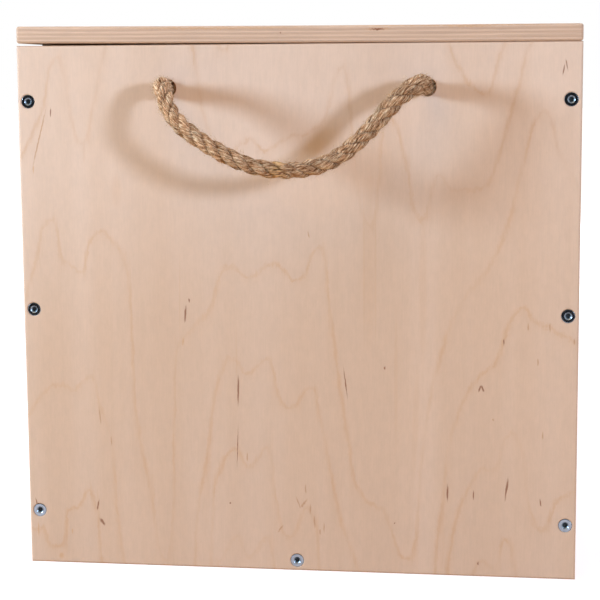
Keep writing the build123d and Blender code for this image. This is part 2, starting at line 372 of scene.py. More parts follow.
def grown(name, source, tree, values):
    """A plain mesh object of what a Geometry Nodes tree makes from the source mesh."""
    carrier = added_object(name + "_source", source)
    modifier = carrier.modifiers.new("Grow", "NODES")
    modifier.node_group = tree
    sockets = {s.name: s.identifier for s in tree.interface.items_tree if s.in_out == "INPUT"}
    for label, value in values.items():
        modifier[sockets[label]] = value
    graph = bpy.context.evaluated_depsgraph_get()
    mesh = bpy.data.meshes.new_from_object(carrier.evaluated_get(graph), depsgraph=graph)
    bpy.data.objects.remove(carrier)
    mesh.name = name
    return added_object(name, mesh)


def mesh_object(name, vertices, faces, material, smooth=True):
    mesh = bpy.data.meshes.new(name)
    mesh.from_pydata([tuple(v) for v in vertices], [], faces)
    mesh.polygons.foreach_set("use_smooth", [smooth] * len(mesh.polygons))
    mesh.materials.append(material)
    mesh.update()
    return added_object(name, mesh)


def paint(node, material):
    """Give a CAD node its material."""
    piece = frame["nodes"][node]
    if not piece.material_slots:
        piece.data.materials.append(material)
    for held in piece.material_slots:
        held.material = material


# ---------------------------------------------------------------- finishes
def new_material(name):
    material = bpy.data.materials.new(name)
    material.use_nodes = True
    return material, Net(material.node_tree)


def finish_material(net, shader_inputs):
    """Ends a material's tree with one Principled shader."""
    shader = net.node("ShaderNodeBsdfPrincipled", shader_inputs)
    net.node("ShaderNodeOutputMaterial", {"Surface": shader.outputs[0]})


def bumped(net, height, distance, strength=1.0):
    made = net.node("ShaderNodeBump", {"Height": height, "Distance": distance, "Strength": strength})
    return made.outputs[0]


def with_alpha(colour):
    return (*colour, 1.0)


CREASE_SHADE = 0.62       # how dark the rope is painted deep between its strands, as shade
TUFT_AT = 0.152              # where along a rope a few golden fibres were laid in
TUFT_REACH = 0.006
TUFT = (0.92, 0.55, 0.24, 1.0)
PAINTED_SHADE_SHARE = 0.6             # how much of the dark fibre's colour the painted shade in creases and pits keeps
HAIR_SHARE = 0.7             # how much of the rope's colour the darkest hairs keep
JUTE_RELIEF = 0.0012


def jute_material(name):
    """Hairy laid fibre. The piece carries fibre_place, which runs along the fibres, and crease, which
    is 1 deep between the strands."""
    rope = settings().rope
    material, net = new_material(name)
    place = net.node("ShaderNodeAttribute", attribute_name="fibre_place").outputs["Vector"]
    crease = net.node("ShaderNodeAttribute", attribute_name="crease").outputs["Fac"]
    threads = net.noise(net.stretched(place, 0.15), 1500.0, 2.0, 0.7)
    bundles = net.noise(net.stretched(place, 0.30), 900.0, 3.0, 0.75)
    patches = net.noise(place, 70.0, 2.0, 0.6)
    pits = net.noise(net.stretched(place, 0.32), 700.0, 2.0, 0.6)
    tone = net.plus(net.times(threads, 0.4), net.times(bundles, 0.6))
    shade = net.ramp(tone, 0.38, 0.50)
    shine = net.ramp(tone, 0.50, 0.58)
    colour = net.mix(shade, with_alpha(rope.dark), with_alpha(rope.middle))
    colour = net.mix(shine, colour, with_alpha(rope.light))
    warm = net.mix(net.ramp(patches, 0.35, 0.7), WHITE, (1.02, 0.98, 0.93, 1.0))
    colour = net.mix(1.0, colour, warm, "MULTIPLY")
    along = net.split(place)[2]
    # Painted light: each rope is painted up to 28% lighter over its first 14 cm, as if lit more there;
    # random lighter and darker stretches are laid over that.
    painted_light_and_tone = net.ramp(along, 0.03, 0.14, 1.28, 1.0)
    painted_light_and_tone = net.times(painted_light_and_tone, net.ramp(net.noise(place, 130.0, 2.0, 0.6), 0.3, 0.7, 0.80, 1.20))
    colour = net.toned(colour, painted_light_and_tone)
    tuft = net.ramp(net.math("ABSOLUTE", net.minus(along, TUFT_AT)), TUFT_REACH, TUFT_REACH / 4)
    tuft = net.times(tuft, net.ramp(bundles, 0.40, 0.55))
    colour = net.mix(net.times(tuft, 0.75), colour, TUFT)
    # Painted shade: the creases between the strands and random pits are painted towards a darker fibre
    # colour.
    shaded_pits = net.ramp(net.plus(pits, net.times(crease, 0.14)), 0.57, 0.66)
    painted_shade = net.math("MAXIMUM", net.times(crease, CREASE_SHADE), net.times(shaded_pits, 0.85))
    colour = net.mix(painted_shade, colour, with_alpha([PAINTED_SHADE_SHARE * c for c in rope.dark]))
    height = net.plus(threads, net.times(bundles, 1.5))
    finish_material(net, {"Base Color": colour, "Roughness": 0.82, "Specular IOR Level": 0.0,
                          "Normal": bumped(net, height, JUTE_RELIEF)})
    return material


def hair_material(name):
    """Loose fibres, paler than the rope that they stand out from."""
    rope = settings().rope
    material, net = new_material(name)
    place = net.node("ShaderNodeTexCoord").outputs["Object"]
    tone = net.ramp(net.noise(place, 700.0, 2.0, 0.6), 0.35, 0.65)
    shaded = with_alpha([HAIR_SHARE * c for c in rope.middle])
    finish_material(net, {"Base Color": net.mix(tone, shaded, with_alpha(rope.light)),
                          "Roughness": net.ramp(tone, 0.0, 1.0, 0.7, 0.5), "Specular IOR Level": 0.1})
    return material


def finish(name, make):
    """A material made once and shared by the pieces that have that finish."""
    return bpy.data.materials.get(name) or make(name)


# ---------------------------------------------------------------- the veneer's figure
# Heights in millimetres, from the left edge to the right, at which three neighbouring growth lines
# cross the sheet. The lines between and beyond them follow from these.
UPPER_LINE = [
    (-200, 300), (-189, 319), (-181, 339), (-170, 371), (-165, 359), (-153, 312), (-145, 336),
    (-134, 381), (-124, 400), (-83, 400), (-61, 319), (-50, 299), (-38, 310), (-31, 314), (-21, 306),
    (-7, 314), (19, 325), (27, 344), (34, 364), (38, 352), (44, 290), (55, 254), (66, 327), (80, 293),
    (90, 258), (103, 289), (111, 278), (133, 281), (144, 304), (155, 346), (173, 392), (200, 400),
]
MIDDLE_LINE = [
    (-200, 194), (-192, 217), (-177, 257), (-170, 226), (-156, 218), (-149, 241), (-140, 246),
    (-127, 233), (-121, 201), (-117, 109), (-107, 56), (-98, 4), (-90, 80), (-86, 163), (-75, 178),
    (-63, 190), (-48, 223), (-34, 215), (-15, 226), (1, 214), (18, 237), (25, 191), (37, 104),
    (46, 60), (63, 46), (81, 11), (89, 70), (92, 99), (103, 158), (120, 201), (139, 226), (150, 254),
    (161, 299), (175, 332), (185, 304), (200, 277),
]
LOWER_LINE = [
    (-200, 110), (-176, 135), (-164, 131), (-150, 141), (-146, 124), (-136, 91), (-132, 25),
    (-98, -88), (-71, 57), (-66, 81), (-57, 140), (-46, 156), (-35, 146), (-20, 157), (-14, 135),
    (-4, 122), (12, 136), (17, 118), (26, 68), (34, 33), (43, 9), (75, -80), (104, 41), (112, 106),
    (129, 144), (143, 158), (151, 181), (162, 196), (169, 187), (181, 182), (200, 171),
]
SHEET_WIDTH = 0.4            # the figure's width, beyond which it is mirrored
FIGURE_FROM, FIGURE_TO = -0.1, 0.45       # the heights that the drawn lines may have
CLOSEST_LINES = 0.012        # the least gap between two of the drawn lines
FIGURE_SHAKE = (0.006, 0.0, 0.016)        # how ragged the growth lines are
SLOPE_STEP = 0.0008          # the step over which the lines' slope is measured
LINE_WIDTH, LINE_CORE = 0.0027, 0.0001
SHADE_BELOW = 0.008          # how far the soft shade reaches below a growth line


def drawn_height(net, x_share, line):
    """The height in metres at which a growth line crosses, at a share of the sheet's width."""
    span = FIGURE_TO - FIGURE_FROM
    points = [((x * MM + SHEET_WIDTH / 2) / SHEET_WIDTH, (z * MM - FIGURE_FROM) / span)
              for x, z in line]
    share = net.profile(x_share, [points[0], points[-1], *points[1:-1]])
    return net.plus(net.times(share, span), FIGURE_FROM)


def fill_veneer_level(net, given):
    """How many growth lines lie above a place, and how fast that number changes upwards."""
    x, _, z = net.split(given["Place"])
    x_share = net.math("PINGPONG", net.over(net.plus(x, SHEET_WIDTH / 2), SHEET_WIDTH), 1.0)
    upper, middle, painted_falloff = (drawn_height(net, x_share, line)
                            for line in (UPPER_LINE, MIDDLE_LINE, LOWER_LINE))
    upper_gap = net.math("MAXIMUM", net.minus(upper, middle), CLOSEST_LINES)
    lower_gap = net.math("MAXIMUM", net.minus(middle, painted_falloff), CLOSEST_LINES)
    above = net.math("GREATER_THAN", z, middle)
    gap = net.plus(lower_gap, net.times(above, net.minus(upper_gap, lower_gap)))
    return net.over(net.minus(middle, z), gap), net.over(1.0, gap)


def fill_growth_lines(level_tree):
    """The sharp lines of late wood and the soft shade that fades away below each."""
    def fill(net, given):
        place = given["Place"]
        place = net.shaken(place, net.stretched(place, 0.6), 80.0, 5.0, 0.8, FIGURE_SHAKE)
        level, rise = net.group(level_tree, {"Place": place})[:2]
        beside = net.group(level_tree, {"Place": net.vector("ADD", place, (SLOPE_STEP, 0.0, 0.0))})[0]
        across = net.over(net.minus(beside, level), SLOPE_STEP)
        slope = net.math("SQRT", net.plus(net.times(across, across), net.times(rise, rise)))
        from_line = net.minus(level, net.math("ROUND", level))
        distance = net.over(from_line, slope)
        line = net.ramp(net.math("ABSOLUTE", distance), LINE_WIDTH, LINE_CORE)
        below = net.times(net.ramp(distance, SHADE_BELOW, 0.0), net.ramp(distance, -0.001, 0.0))
        broken = net.noise(net.stretched(place, 0.12), 420.0, 2.0, 0.6)
        strength = net.times(net.ramp(net.noise(place, 16.0, 2.0), 0.3, 0.65, 0.2, 1.0),
                             net.ramp(broken, 0.3, 0.6, 0.45, 1.0))
        return net.times(line, strength), net.times(below, strength)
    return fill


# ---------------------------------------------------------------- plywood
PAINTED_FALLOFF = (0.35, 0.17)              # the heights on the sheet between which it is painted from lighter and pinker down to darker and yellower: painted light falling off
PLY_WAVE = 0.0003            # how far the plies wander in a board's thickness
GLUE_DARKNESS = 0.12
LINE_DARKNESS, SHADE_DARKNESS = 0.31, 0.10
ALONG_PLY = (90.0, 4200.0, 90.0)          # fibres seen along the grain, in waves a metre
ACROSS_PLY = (1500.0, 2600.0, 1500.0)     # pores seen on the end grain
PLY_PIECES = (14.0, 700.0, 14.0)          # longer stretches of lighter and darker ply


def fill_plywood(figure_tree):
    """A veneered board. Place and Facing run across the grain, through the board and along it."""
    def fill(net, given):
        place, facing = given["Place"], given["Facing"]
        x, depth, z = net.split(place)
        face_x, face_y, face_z = net.split(net.vector("ABSOLUTE", facing))
        # plies, counted in from the nearer face
        inset = net.minus(net.times(given["Thickness"], 0.5), net.math("ABSOLUTE", depth))
        wave = net.noise(net.vector("MULTIPLY", place, (60.0, 1.0, 60.0)), 1.0, 1.0)
        inset = net.plus(inset, net.times(net.minus(wave, 0.5), PLY_WAVE))
        layers = net.over(net.minus(inset, given["Face Ply"]), given["Ply"])
        count = net.plus(net.math("FLOOR", layers), 1.0)
        cross = net.math("MODULO", net.math("MAXIMUM", count, 0.0), 2.0)
        inner = net.math("GREATER_THAN", layers, 0.0)
        glue = net.math("ABSOLUTE", net.minus(layers, net.math("ROUND", layers)))
        glue = net.times(net.ramp(glue, 0.12, 0.02), net.math("GREATER_THAN", layers, -0.4))
        end_edge = net.math("GREATER_THAN", face_z, face_x)
        end_grain = net.math("ABSOLUTE", net.minus(end_edge, cross))
        on_face = net.times(net.ramp(face_y, 0.55, 0.8), net.minus(1.0, inner))

        # the face veneer
        streaks = net.noise(net.stretched(place, 0.035), 26.0, 3.0, 0.55)
        bands = net.noise(net.stretched(place, 0.12), 9.0, 2.0, 0.5)
        fibres = net.noise(net.stretched(place, 0.045), 1300.0, 3.0, 0.7)
        mottle = net.noise(net.stretched(place, 0.5), 240.0, 3.0, 0.65)
        # Painted light: the sheet is painted lighter and pinker high up and darker and yellower low
        # down and to the right, as if less lit there; random streaks shift the mix both ways.
        leaning = net.minus(z, net.times(x, 0.2))
        painted_falloff = net.ramp(leaning, *PAINTED_FALLOFF, 0.10, 0.90)
        share = net.plus(painted_falloff, net.ramp(streaks, 0.3, 0.7, -0.22, 0.22))
        share = net.node("ShaderNodeClamp", {0: share}).outputs[0]
        veneer = net.mix(share, given["Pink"], given["Yellow"])
        flame = net.ramp(bands, 0.3, 0.7, 0.97, 1.03)
        fine = net.ramp(fibres, 0.25, 0.75, 0.975, 1.025)
        cloud = net.ramp(mottle, 0.25, 0.75, 0.975, 1.025)
        tone = net.times(net.times(flame, fine), cloud)
        veneer = net.toned(veneer, tone)
        line, below = net.group(figure_tree, {"Place": place})[:2]
        shade = net.plus(net.times(line, LINE_DARKNESS), net.times(below, SHADE_DARKNESS))
        shade = net.times(shade, given["Figure"])
        veneer = net.mix(shade, veneer, given["Growth"])

        # the edges
        run = net.mix(end_edge, net.join(0.0, depth, z), net.join(x, depth, 0.0))
        along = net.noise(net.vector("MULTIPLY", run, ALONG_PLY), 1.0, 3.0, 0.65)
        pores = net.noise(net.vector("MULTIPLY", run, ACROSS_PLY), 1.0, 3.0, 0.7)
        pieces = net.noise(net.vector("MULTIPLY", run, PLY_PIECES), 1.0, 1.0)
        grain_tone = net.mix(end_grain, net.join(along, along, along), net.join(pores, pores, pores))
        edge = net.mix(end_grain, given["Long Ply"], given["End Ply"])
        texture = net.ramp(net.split(grain_tone)[0], 0.25, 0.75, 0.90, 1.09)
        texture = net.times(texture, net.ramp(pieces, 0.3, 0.7, 0.93, 1.06))
        texture = net.times(texture, net.minus(1.0, net.times(glue, GLUE_DARKNESS)))
        edge = net.toned(edge, texture)

        colour = net.mix(on_face, edge, veneer)
        roughness = net.ramp(fibres, 0.2, 0.8, 0.52, 0.68)
        height = net.minus(net.times(fibres, 0.5),
                           net.times(net.times(glue, 1.2), net.minus(1.0, on_face)))
        return colour, roughness, height
    return fill


def wood_groups():
    """The plywood group, made once with the two groups inside it."""
    made = bpy.data.node_groups.get("Plywood")
    if made:
        return made
    level = shader_group("Veneer Level", [("Place", VECTOR, (0, 0, 0))],
                         [("Level", NUMBER), ("Rise", NUMBER)], fill_veneer_level)
    figure = shader_group("Growth Lines", [("Place", VECTOR, (0, 0, 0))],
                          [("Line", NUMBER), ("Below", NUMBER)], fill_growth_lines(level))
    grey = (0.5, 0.5, 0.5, 1.0)
    return shader_group(
        "Plywood",
        [("Place", VECTOR, (0, 0, 0)), ("Facing", VECTOR, (0, 1, 0)), ("Thickness", NUMBER, 0.012),
         ("Face Ply", NUMBER, 0.001), ("Ply", NUMBER, 0.0014), ("Figure", NUMBER, 1.0),
         *((label, COLOUR, grey) for label in ("Pink", "Yellow", "Growth", "Long Ply", "End Ply"))],
        [("Color", COLOUR), ("Roughness", NUMBER), ("Height", NUMBER)], fill_plywood(figure))


def in_board_axes(net, vector, order):
    """A vector across the grain, through the board and along the grain."""
    parts = dict(zip("xyz", net.split(vector)))
    return net.join(*(parts[axis] for axis in order))


CASE_PLIES, TRAY_PLIES, BASE_PLIES = 9, 7, 5
EDGE_MARKS_REACH = 0.01      # how far in from a board's edge the flecks in that edge reach
HOLE_RADIUS = 0.0065
HOLE_WALL = (0.50, 0.16, 0.04, 1.0)
WOOD_RELIEF = 0.00012


def plywood_material(name, low, high, order, plies, shift=(0.0, 0.0, 0.0), mirror=False, figure=1.0,
                     place_from=None, marks=(), edge_marks=(), drilled=()):
    """A board between two corners. order names the axes across the grain, through the board and along
    the grain; shift and mirror choose which part of the sheet it was cut from. marks are flecks in its
    faces, edge_marks flecks in the edge at the low end of its grain, and drilled the places of its
    rope holes, whose walls are darker."""
    wood = settings().plywood
    material, net = new_material(name)
    coordinates = net.node("ShaderNodeTexCoord").outputs
    if place_from:
        place = net.node("ShaderNodeAttribute", attribute_name=place_from).outputs["Vector"]
    else:
        place = coordinates["Object"]
    middle = (Vector(low) + Vector(high)) / 2
    through = "xyz".index(order[1])
    centre = [0.0, 0.0, 0.0]
    centre[through] = middle[through]
    place = in_board_axes(net, net.vector("SUBTRACT", place, tuple(centre)), order)
    turned_over = (-1.0, 1.0, 1.0) if mirror else (1.0, 1.0, 1.0)
    on_sheet = net.vector("ADD", net.vector("MULTIPLY", place, turned_over), shift)
    thickness = high[through] - low[through]
    outputs = net.group(wood_groups(), {
        "Place": on_sheet, "Facing": in_board_axes(net, coordinates["Normal"], order),
        "Thickness": thickness, "Face Ply": wood.face_ply,
        "Ply": (thickness - 2 * wood.face_ply) / (plies - 2), "Figure": figure,
        "Pink": with_alpha(wood.pink), "Yellow": with_alpha(wood.yellow),
        "Growth": with_alpha(wood.growth), "Long Ply": with_alpha(wood.long_ply),
        "End Ply": with_alpha(wood.end_ply)})
    colour = outputs["Color"]
    for colour_of_marks, strength, placed in marks:
        colour = net.mix(marks_mask(net, place, placed, strength), colour, colour_of_marks)
    across, depth, along = net.split(place)
    at_edge = net.math("LESS_THAN", along, low["xyz".index(order[2])] + EDGE_MARKS_REACH)
    for colour_of_marks, strength, placed in edge_marks:
        mask = marks_mask(net, net.join(across, 0.0, depth), placed, strength)
        colour = net.mix(net.times(mask, at_edge), colour, colour_of_marks)
    for hole in drilled:
        from_axis = net.vector("MULTIPLY", net.vector("SUBTRACT", place, hole), (1.0, 0.0, 1.0))
        wall = net.ramp(net.vector("LENGTH", from_axis), HOLE_RADIUS + 0.0004, HOLE_RADIUS + 0.0001)
        colour = net.mix(net.times(wall, 0.85), colour, HOLE_WALL)
    finish_material(net, {"Base Color": colour, "Roughness": outputs["Roughness"],
                          "Specular IOR Level": 0.3,
                          "Normal": bumped(net, outputs["Height"], WOOD_RELIEF, 0.6)})
    return material


# Flecks in the front panel's veneer, in millimetres: across, up, length, width, and lean in degrees.
DARK_FLECKS = [
    (-176, 333, 6, 1.2, 2), (-80, 188, 12, 1.6, 5), (-77, 198, 2.5, 1, 0), (-42, 133, 21, 1.5, 1),
    (36, 139, 23, 0.8, -7), (64, 151, 3, 1.2, 0), (131.4, 137.6, 5, 1.2, 22),
    (133.4, 137.6, 5, 1.5, -27), (148, 171, 5, 0.9, 0), (-148, 45, 8, 1.3, 13),
    (-145, 32, 6.5, 2.0, -37), (-195, 46, 5, 1.2, -12), (109, 61, 13, 1.4, 0),
    (127.6, 60, 7, 0.9, 0), (151, 65, 16, 1.5, 7), (175, 56, 5.5, 1.0, -8), (187, 361, 8, 1.0, 10),
    (189, 364, 8, 0.9, -12), (-49, 49, 1.6, 1.4, 0), (71, 38, 1, 1, 0), (-43, 91, 31, 0.6, 2),
    (131, 10, 3, 1.2, 0),
]
BROWN_FLECKS = [
    (-185, 314, 45, 1.1, 15), (-36, 84, 7, 1.0, 1), (10, 246, 5, 1.0, -8), (165, 182, 6, 1.1, -1),
    (180, 182, 7, 1.0, -1), (172, 157, 4, 1.1, -1), (197, 172, 5, 1.1, -1), (176, 105, 6, 1.0, -1),
    (-145, 112, 13, 1.2, -5), (-137, 93, 8, 1.0, -1), (-12, 31, 7, 1.3, 35), (1.2, 51, 9, 1.2, -21),
    (5.2, 50.4, 8.5, 1.4, 37), (6.7, 61, 7.5, 1.0, -2), (10, 46, 8, 1.0, 0), (13, 37, 10, 1.1, 0),
    (17, 29, 4, 1.0, 0), (20, 33, 8, 1.0, 0), (141, 115, 2, 1.2, -14),
]
ORANGE_FLECKS = [
    (-190, 292, 6, 1.4, 2), (-82, 168, 6, 1.6, 5), (-194, 25, 11, 1.3, 0), (-168, 24, 5, 1.3, 2),
    (-177, 5, 5, 4, 0),
]
# Streaks of deeper colour in the same veneer, soft ones and fine ones, in the same measures.
SOFT_STREAKS = [
    (91, 209, 112, 6, 0), (72, 142, 97, 3, 0), (86, 111, 85, 5, 2), (-129, 277, 26, 8, 0),
    (-152, 304, 18, 2, 1), (53, 226, 125, 10, 0),
]
FINE_STREAKS = [
    (49.4, 226, 125, 1.5, 0), (57.5, 220, 114, 1.5, 0), (-84, 200, 60, 1.2, 1), (-43, 150, 60, 1.2, 0),
]
# Flecks in the lid's front edge: across, up from the middle of the board, height, width, and lean.
LID_EDGE_FLECKS = [(59, 3.2, 1.7, 10, 0), (-9, 0.9, 0.9, 0.9, 0)]
LID_EDGE_STREAKS = [
    (124, 4.8, 0.8, 7, 0), (59, 3.3, 1.3, 22, 0), (122, 4.6, 1.2, 30, 0), (-60, 4.4, 1.4, 150, 0),
    (110, 5.5, 0.9, 150, 0),
]
FLECK_SHAKE = (0.0008, 0.0, 0.003)        # how ragged a fleck's outline is


def marks_mask(net, place, placed, strength):
    """1 inside the flecks of a list, fading at their edges."""
    place = net.shaken(place, net.stretched(place, 0.3), 900.0, 1.0, 0.5, FLECK_SHAKE)
    nearest = None
    for across, up, length, width, lean in placed:
        fitted = net.node("ShaderNodeMapping", {
            "Vector": place, "Location": (across * MM, 0.0, up * MM),
            "Rotation": (0.0, math.radians(lean), 0.0),
            "Scale": (width * MM / 2, 1.0, length * MM / 2)}, vector_type="TEXTURE").outputs[0]
        reach = net.vector("LENGTH", net.vector("MULTIPLY", fitted, (1.0, 0.0, 1.0)))
        nearest = reach if nearest is None else net.math("MINIMUM", nearest, reach)
    return net.times(net.ramp(nearest, 1.3, 0.4), strength)


def dress_board(node, order, plies, **choices):
    """Gives a board of the CAD its veneer."""
    low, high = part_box(node)
    paint(node, plywood_material(node.replace("_", " ").title(), low, high, order, plies, **choices))


class CHUCKBOX_OT_case(bpy.types.Operator):
    """Veneer the case: two end panels, two long walls and the bottom"""
    bl_idname = "chuck_box.case"
    bl_label = "Case"

    def execute(self, context):
        wood = settings().plywood
        brown = with_alpha(wood.fleck)
        middling = with_alpha([0.35 * f + 0.65 * g for f, g in zip(wood.fleck, wood.growth)])
        late_wood = with_alpha(wood.growth)
        marks = [(late_wood, 0.13, SOFT_STREAKS), (late_wood, 0.13, FINE_STREAKS),
                 (with_alpha(wood.orange), 0.55, ORANGE_FLECKS), (middling, 0.6, BROWN_FLECKS),
                 (brown, 0.85, DARK_FLECKS)]
        front, rear = ([(middle + side * HANDLE_PITCH / 2, 0.0, HOLE_Z) for side in SIDES.values()]
                       for middle in (HANDLE_MIDDLE, -HANDLE_MIDDLE))
        dress_board("end_panel_front", "xyz", CASE_PLIES, marks=marks, drilled=front)
        dress_board("end_panel_rear", "xyz", CASE_PLIES, mirror=True, shift=(0.11, 0.0, -0.03),
                    drilled=rear)
        dress_board("side_panel_left", "zxy", CASE_PLIES, shift=(0.07, 0.0, 0.15), figure=0.8)
        dress_board("side_panel_right", "zxy", CASE_PLIES, mirror=True, shift=(0.31, 0.0, -0.11),
                    figure=0.8)
        dress_board("bottom_panel", "xzy", CASE_PLIES, shift=(-0.08, 0.0, 0.21), figure=0.8)
        return {"FINISHED"}


class CHUCKBOX_OT_strips(bpy.types.Operator):
    """Veneer the ledges that carry the tray and the guides that hold the divider"""
    bl_idname = "chuck_box.strips"
    bl_label = "Ledges and Guides"

    def execute(self, context):
        number = 0
        for side in SIDES:
            for end in ENDS:
                number += 1
                dress_board(f"ledge_{side}_{end}", "zxy", CASE_PLIES,
                            shift=(0.37 * number, 0.0, 0.9 * number), figure=0.5)
                dress_board(f"divider_guide_{side}_{end}", "yxz", CASE_PLIES,
                            shift=(0.23 * number, 0.0, 0.5 * number), figure=0.5)
        return {"FINISHED"}


class CHUCKBOX_OT_divider(bpy.types.Operator):
    """Veneer the divider that lifts out"""
    bl_idname = "chuck_box.divider"
    bl_label = "Divider"

    def execute(self, context):
        dress_board("divider_panel", "zyx", CASE_PLIES, shift=(0.17, 0.0, 0.05), figure=0.8)
        return {"FINISHED"}


class CHUCKBOX_OT_tray(bpy.types.Operator):
    """Veneer the tray: its bottom, two ends with hand grips and two sides"""
    bl_idname = "chuck_box.tray"
    bl_label = "Tray"

    def execute(self, context):
        dress_board("tray_bottom", "xzy", BASE_PLIES, shift=(0.05, 0.0, -0.16), figure=0.8)
        for number, end in enumerate(ENDS):
            dress_board(f"tray_end_{end}", "zyx", TRAY_PLIES, shift=(0.29 * number, 0.0, 0.13),
                        figure=0.7)
        for number, side in enumerate(SIDES):
            dress_board(f"tray_side_{side}", "zxy", TRAY_PLIES, shift=(0.1 + 0.33 * number, 0.0, 0.2),
                        figure=0.7)
        return {"FINISHED"}


# ---------------------------------------------------------------- the rope's line
def turned_for(end, point):
    """A place at the front end, or the same place at the rear, half a turn about Z away."""
    return Vector(point) if end == "front" else Vector((-point[0], -point[1], point[2]))


def loop_points(end):
    """A loop's control points in the frame, from the left hole to the right one."""
    holes = {side: HANDLE_MIDDLE + way * HANDLE_PITCH / 2 for side, way in SIDES.items()}
    points = [(holes["left"] + inward, FACE_Y - out, HOLE_Z + up) for inward, out, up in LOOP_LEFT]
    points += [(holes["right"] - inward, FACE_Y - out, HOLE_Z + up)
               for inward, out, up in reversed(LOOP_RIGHT)]
    return [turned_for(end, point) for point in points]


def nurbs_line(points):
    """Close points along the smooth line that the control points pull into shape."""
    data = bpy.data.curves.new("route", "CURVE")
    data.dimensions = "3D"
    data.resolution_u = 24
    spline = data.splines.new("NURBS")
    spline.points.add(len(points) - 1)
    for held, point in zip(spline.points, points):
        held.co = (*point, 1.0)
    spline.order_u = 3
    spline.use_endpoint_u = True
    carrier = bpy.data.objects.new("route", data)
    mesh = bpy.data.meshes.new_from_object(carrier)
    line = np.array([v.co for v in mesh.vertices])
    for used in (carrier, data, mesh):
        bpy.data.batch_remove([used])
    return line


def line_length(line):
    return np.sum(np.linalg.norm(np.diff(line, axis=0), axis=1))


def respaced(line, step):
    """The same line with points one step apart, and the length up to each."""
    along = np.concatenate([[0.0], np.cumsum(np.linalg.norm(np.diff(line, axis=0), axis=1))])
    count = max(2, int(round(along[-1] / step)) + 1)
    wanted = np.linspace(0.0, along[-1], count)
    return np.stack([np.interp(wanted, along, line[:, k]) for k in range(3)], axis=1), wanted


def smoothed(line, rounds):
    """The line with each point drawn towards its neighbours, its ends kept."""
    for _ in range(rounds):
        line[1:-1] = 0.25 * line[:-2] + 0.5 * line[1:-1] + 0.25 * line[2:]
    return line


def unit(rows):
    return rows / np.linalg.norm(rows, axis=1)[:, None]


def carried_frames(line):
    """At each point the line's direction and two normals that turn no more than the line does."""
    ahead = unit(np.gradient(line, axis=0))
    side = np.cross(ahead[0], (0.0, 0.0, 1.0))
    sides = []
    for direction in ahead:
        side = side - direction * side.dot(direction)
        side = side / np.linalg.norm(side)
        sides.append(side)
    sides = np.array(sides)
    return ahead, sides, np.cross(ahead, sides)


# ---------------------------------------------------------------- the rope itself
STRANDS = 3
AROUND = 56                  # points round a strand
RING_STEP = 0.0009
STRAND_RADIUS = 0.555        # of the rope's radius
STRAND_OFF_AXIS = 0.458
YARN_TURN = -430.0           # radians a metre, against the strands' own frame
YARN_SHARPNESS = 0.6
ROUGHNESS = 0.0007           # how far bundles of fibre stand out or lie in
BUNDLES_AROUND, BUNDLES_ALONG = 850, 330  # waves a metre
LUMPS_ALONG = 90
LUMP = 0.10                  # how much a strand swells and thins, of its radius
CREASE_TOP, CREASE_DEPTH = 0.87, 0.20     # where the shade between strands begins, and how deep it is


def laid_rope(name, line, thickness, material, seed):
    """Three strands laid round a line, each of yarns with grooves between them. thickness gives the
    rope's radius at each length along it."""
    rope = settings().rope
    line, along = respaced(line, RING_STEP)
    _, first, second = carried_frames(line)
    radius = thickness(along / along[-1])
    lay_turn = 2 * math.pi * along / rope.lay
    corners = np.arange(AROUND) * 2 * math.pi / AROUND
    vertices, faces, places, creases = [], [], [], []
    for strand in range(STRANDS):
        angle = lay_turn + strand * 2 * math.pi / STRANDS
        out = np.cos(angle)[:, None] * first + np.sin(angle)[:, None] * second
        centre = line + out * (radius * STRAND_OFF_AXIS)[:, None]
        run = unit(np.gradient(centre, axis=0))
        out = unit(out - run * np.sum(out * run, axis=1)[:, None])
        across = np.cross(run, out)
        base = len(vertices)
        for ring, length in enumerate(along):
            yarn_angle = corners - YARN_TURN * length
            groove = np.abs(np.cos(yarn_angle * rope.yarns / 2)) ** YARN_SHARPNESS
            for corner, turn in enumerate(corners):
                fibre = yarn_angle[corner]
                place = Vector((STRAND_RADIUS * radius[ring] * math.cos(fibre),
                                STRAND_RADIUS * radius[ring] * math.sin(fibre), length))
                spot = Vector((place.x * BUNDLES_AROUND + seed + 9 * strand,
                               place.y * BUNDLES_AROUND, place.z * BUNDLES_ALONG))
                rough = noise.noise(spot)
                lump = noise.noise(Vector((seed + strand * 5.3, length * LUMPS_ALONG, math.cos(turn))))
                reach = (radius[ring] * STRAND_RADIUS * (1.02 + LUMP * lump)
                         - rope.yarn_depth * (1 - groove[corner]) + ROUGHNESS * rough)
                point = (centre[ring] + out[ring] * reach * math.cos(turn)
                         + across[ring] * reach * math.sin(turn))
                vertices.append(point)
                places.append(place + Vector((0.013 * strand, 0.007 * seed, 0.0)))
                gap = np.linalg.norm(point - line[ring]) / radius[ring]
                creases.append(min(1.0, max(0.0, (CREASE_TOP - gap) / CREASE_DEPTH)))
        rings = len(along)
        for ring in range(rings - 1):
            low = base + ring * AROUND
            for corner in range(AROUND):
                after = (corner + 1) % AROUND
                faces.append((low + corner, low + after, low + AROUND + after, low + AROUND + corner))
        faces.append(tuple(base + corner for corner in reversed(range(AROUND))))
        faces.append(tuple(base + (rings - 1) * AROUND + corner for corner in range(AROUND)))
    made = mesh_object(name, vertices, faces, material)
    store(made.data, "fibre_place", np.array(places).ravel(), "FLOAT_VECTOR")
    store(made.data, "crease", np.array(creases, dtype=float))
    return made, line


HOLE_DEPTH = 0.010           # how far the loop's own mesh reaches into the panel
HOLE_LEAN = 0.0016           # the rope lies towards the left of its holes
# Shares of the way along a loop, and the rope's thickness at each, of its full diameter.
THICKNESS_AT = [0.0, 0.045, 0.09, 0.16, 0.3, 0.5, 0.72, 0.82, 0.885, 0.945, 1.0]
THICKNESS = [0.80, 0.92, 0.98, 0.96, 0.95, 0.94, 0.97, 1.03, 1.10, 0.90, 0.74]


def loop_thickness(share):
    """Radius along a loop: pulled thin in the middle, squeezed fat just outside the holes."""
    return settings().rope.diameter / 2 * np.interp(share, THICKNESS_AT, THICKNESS)


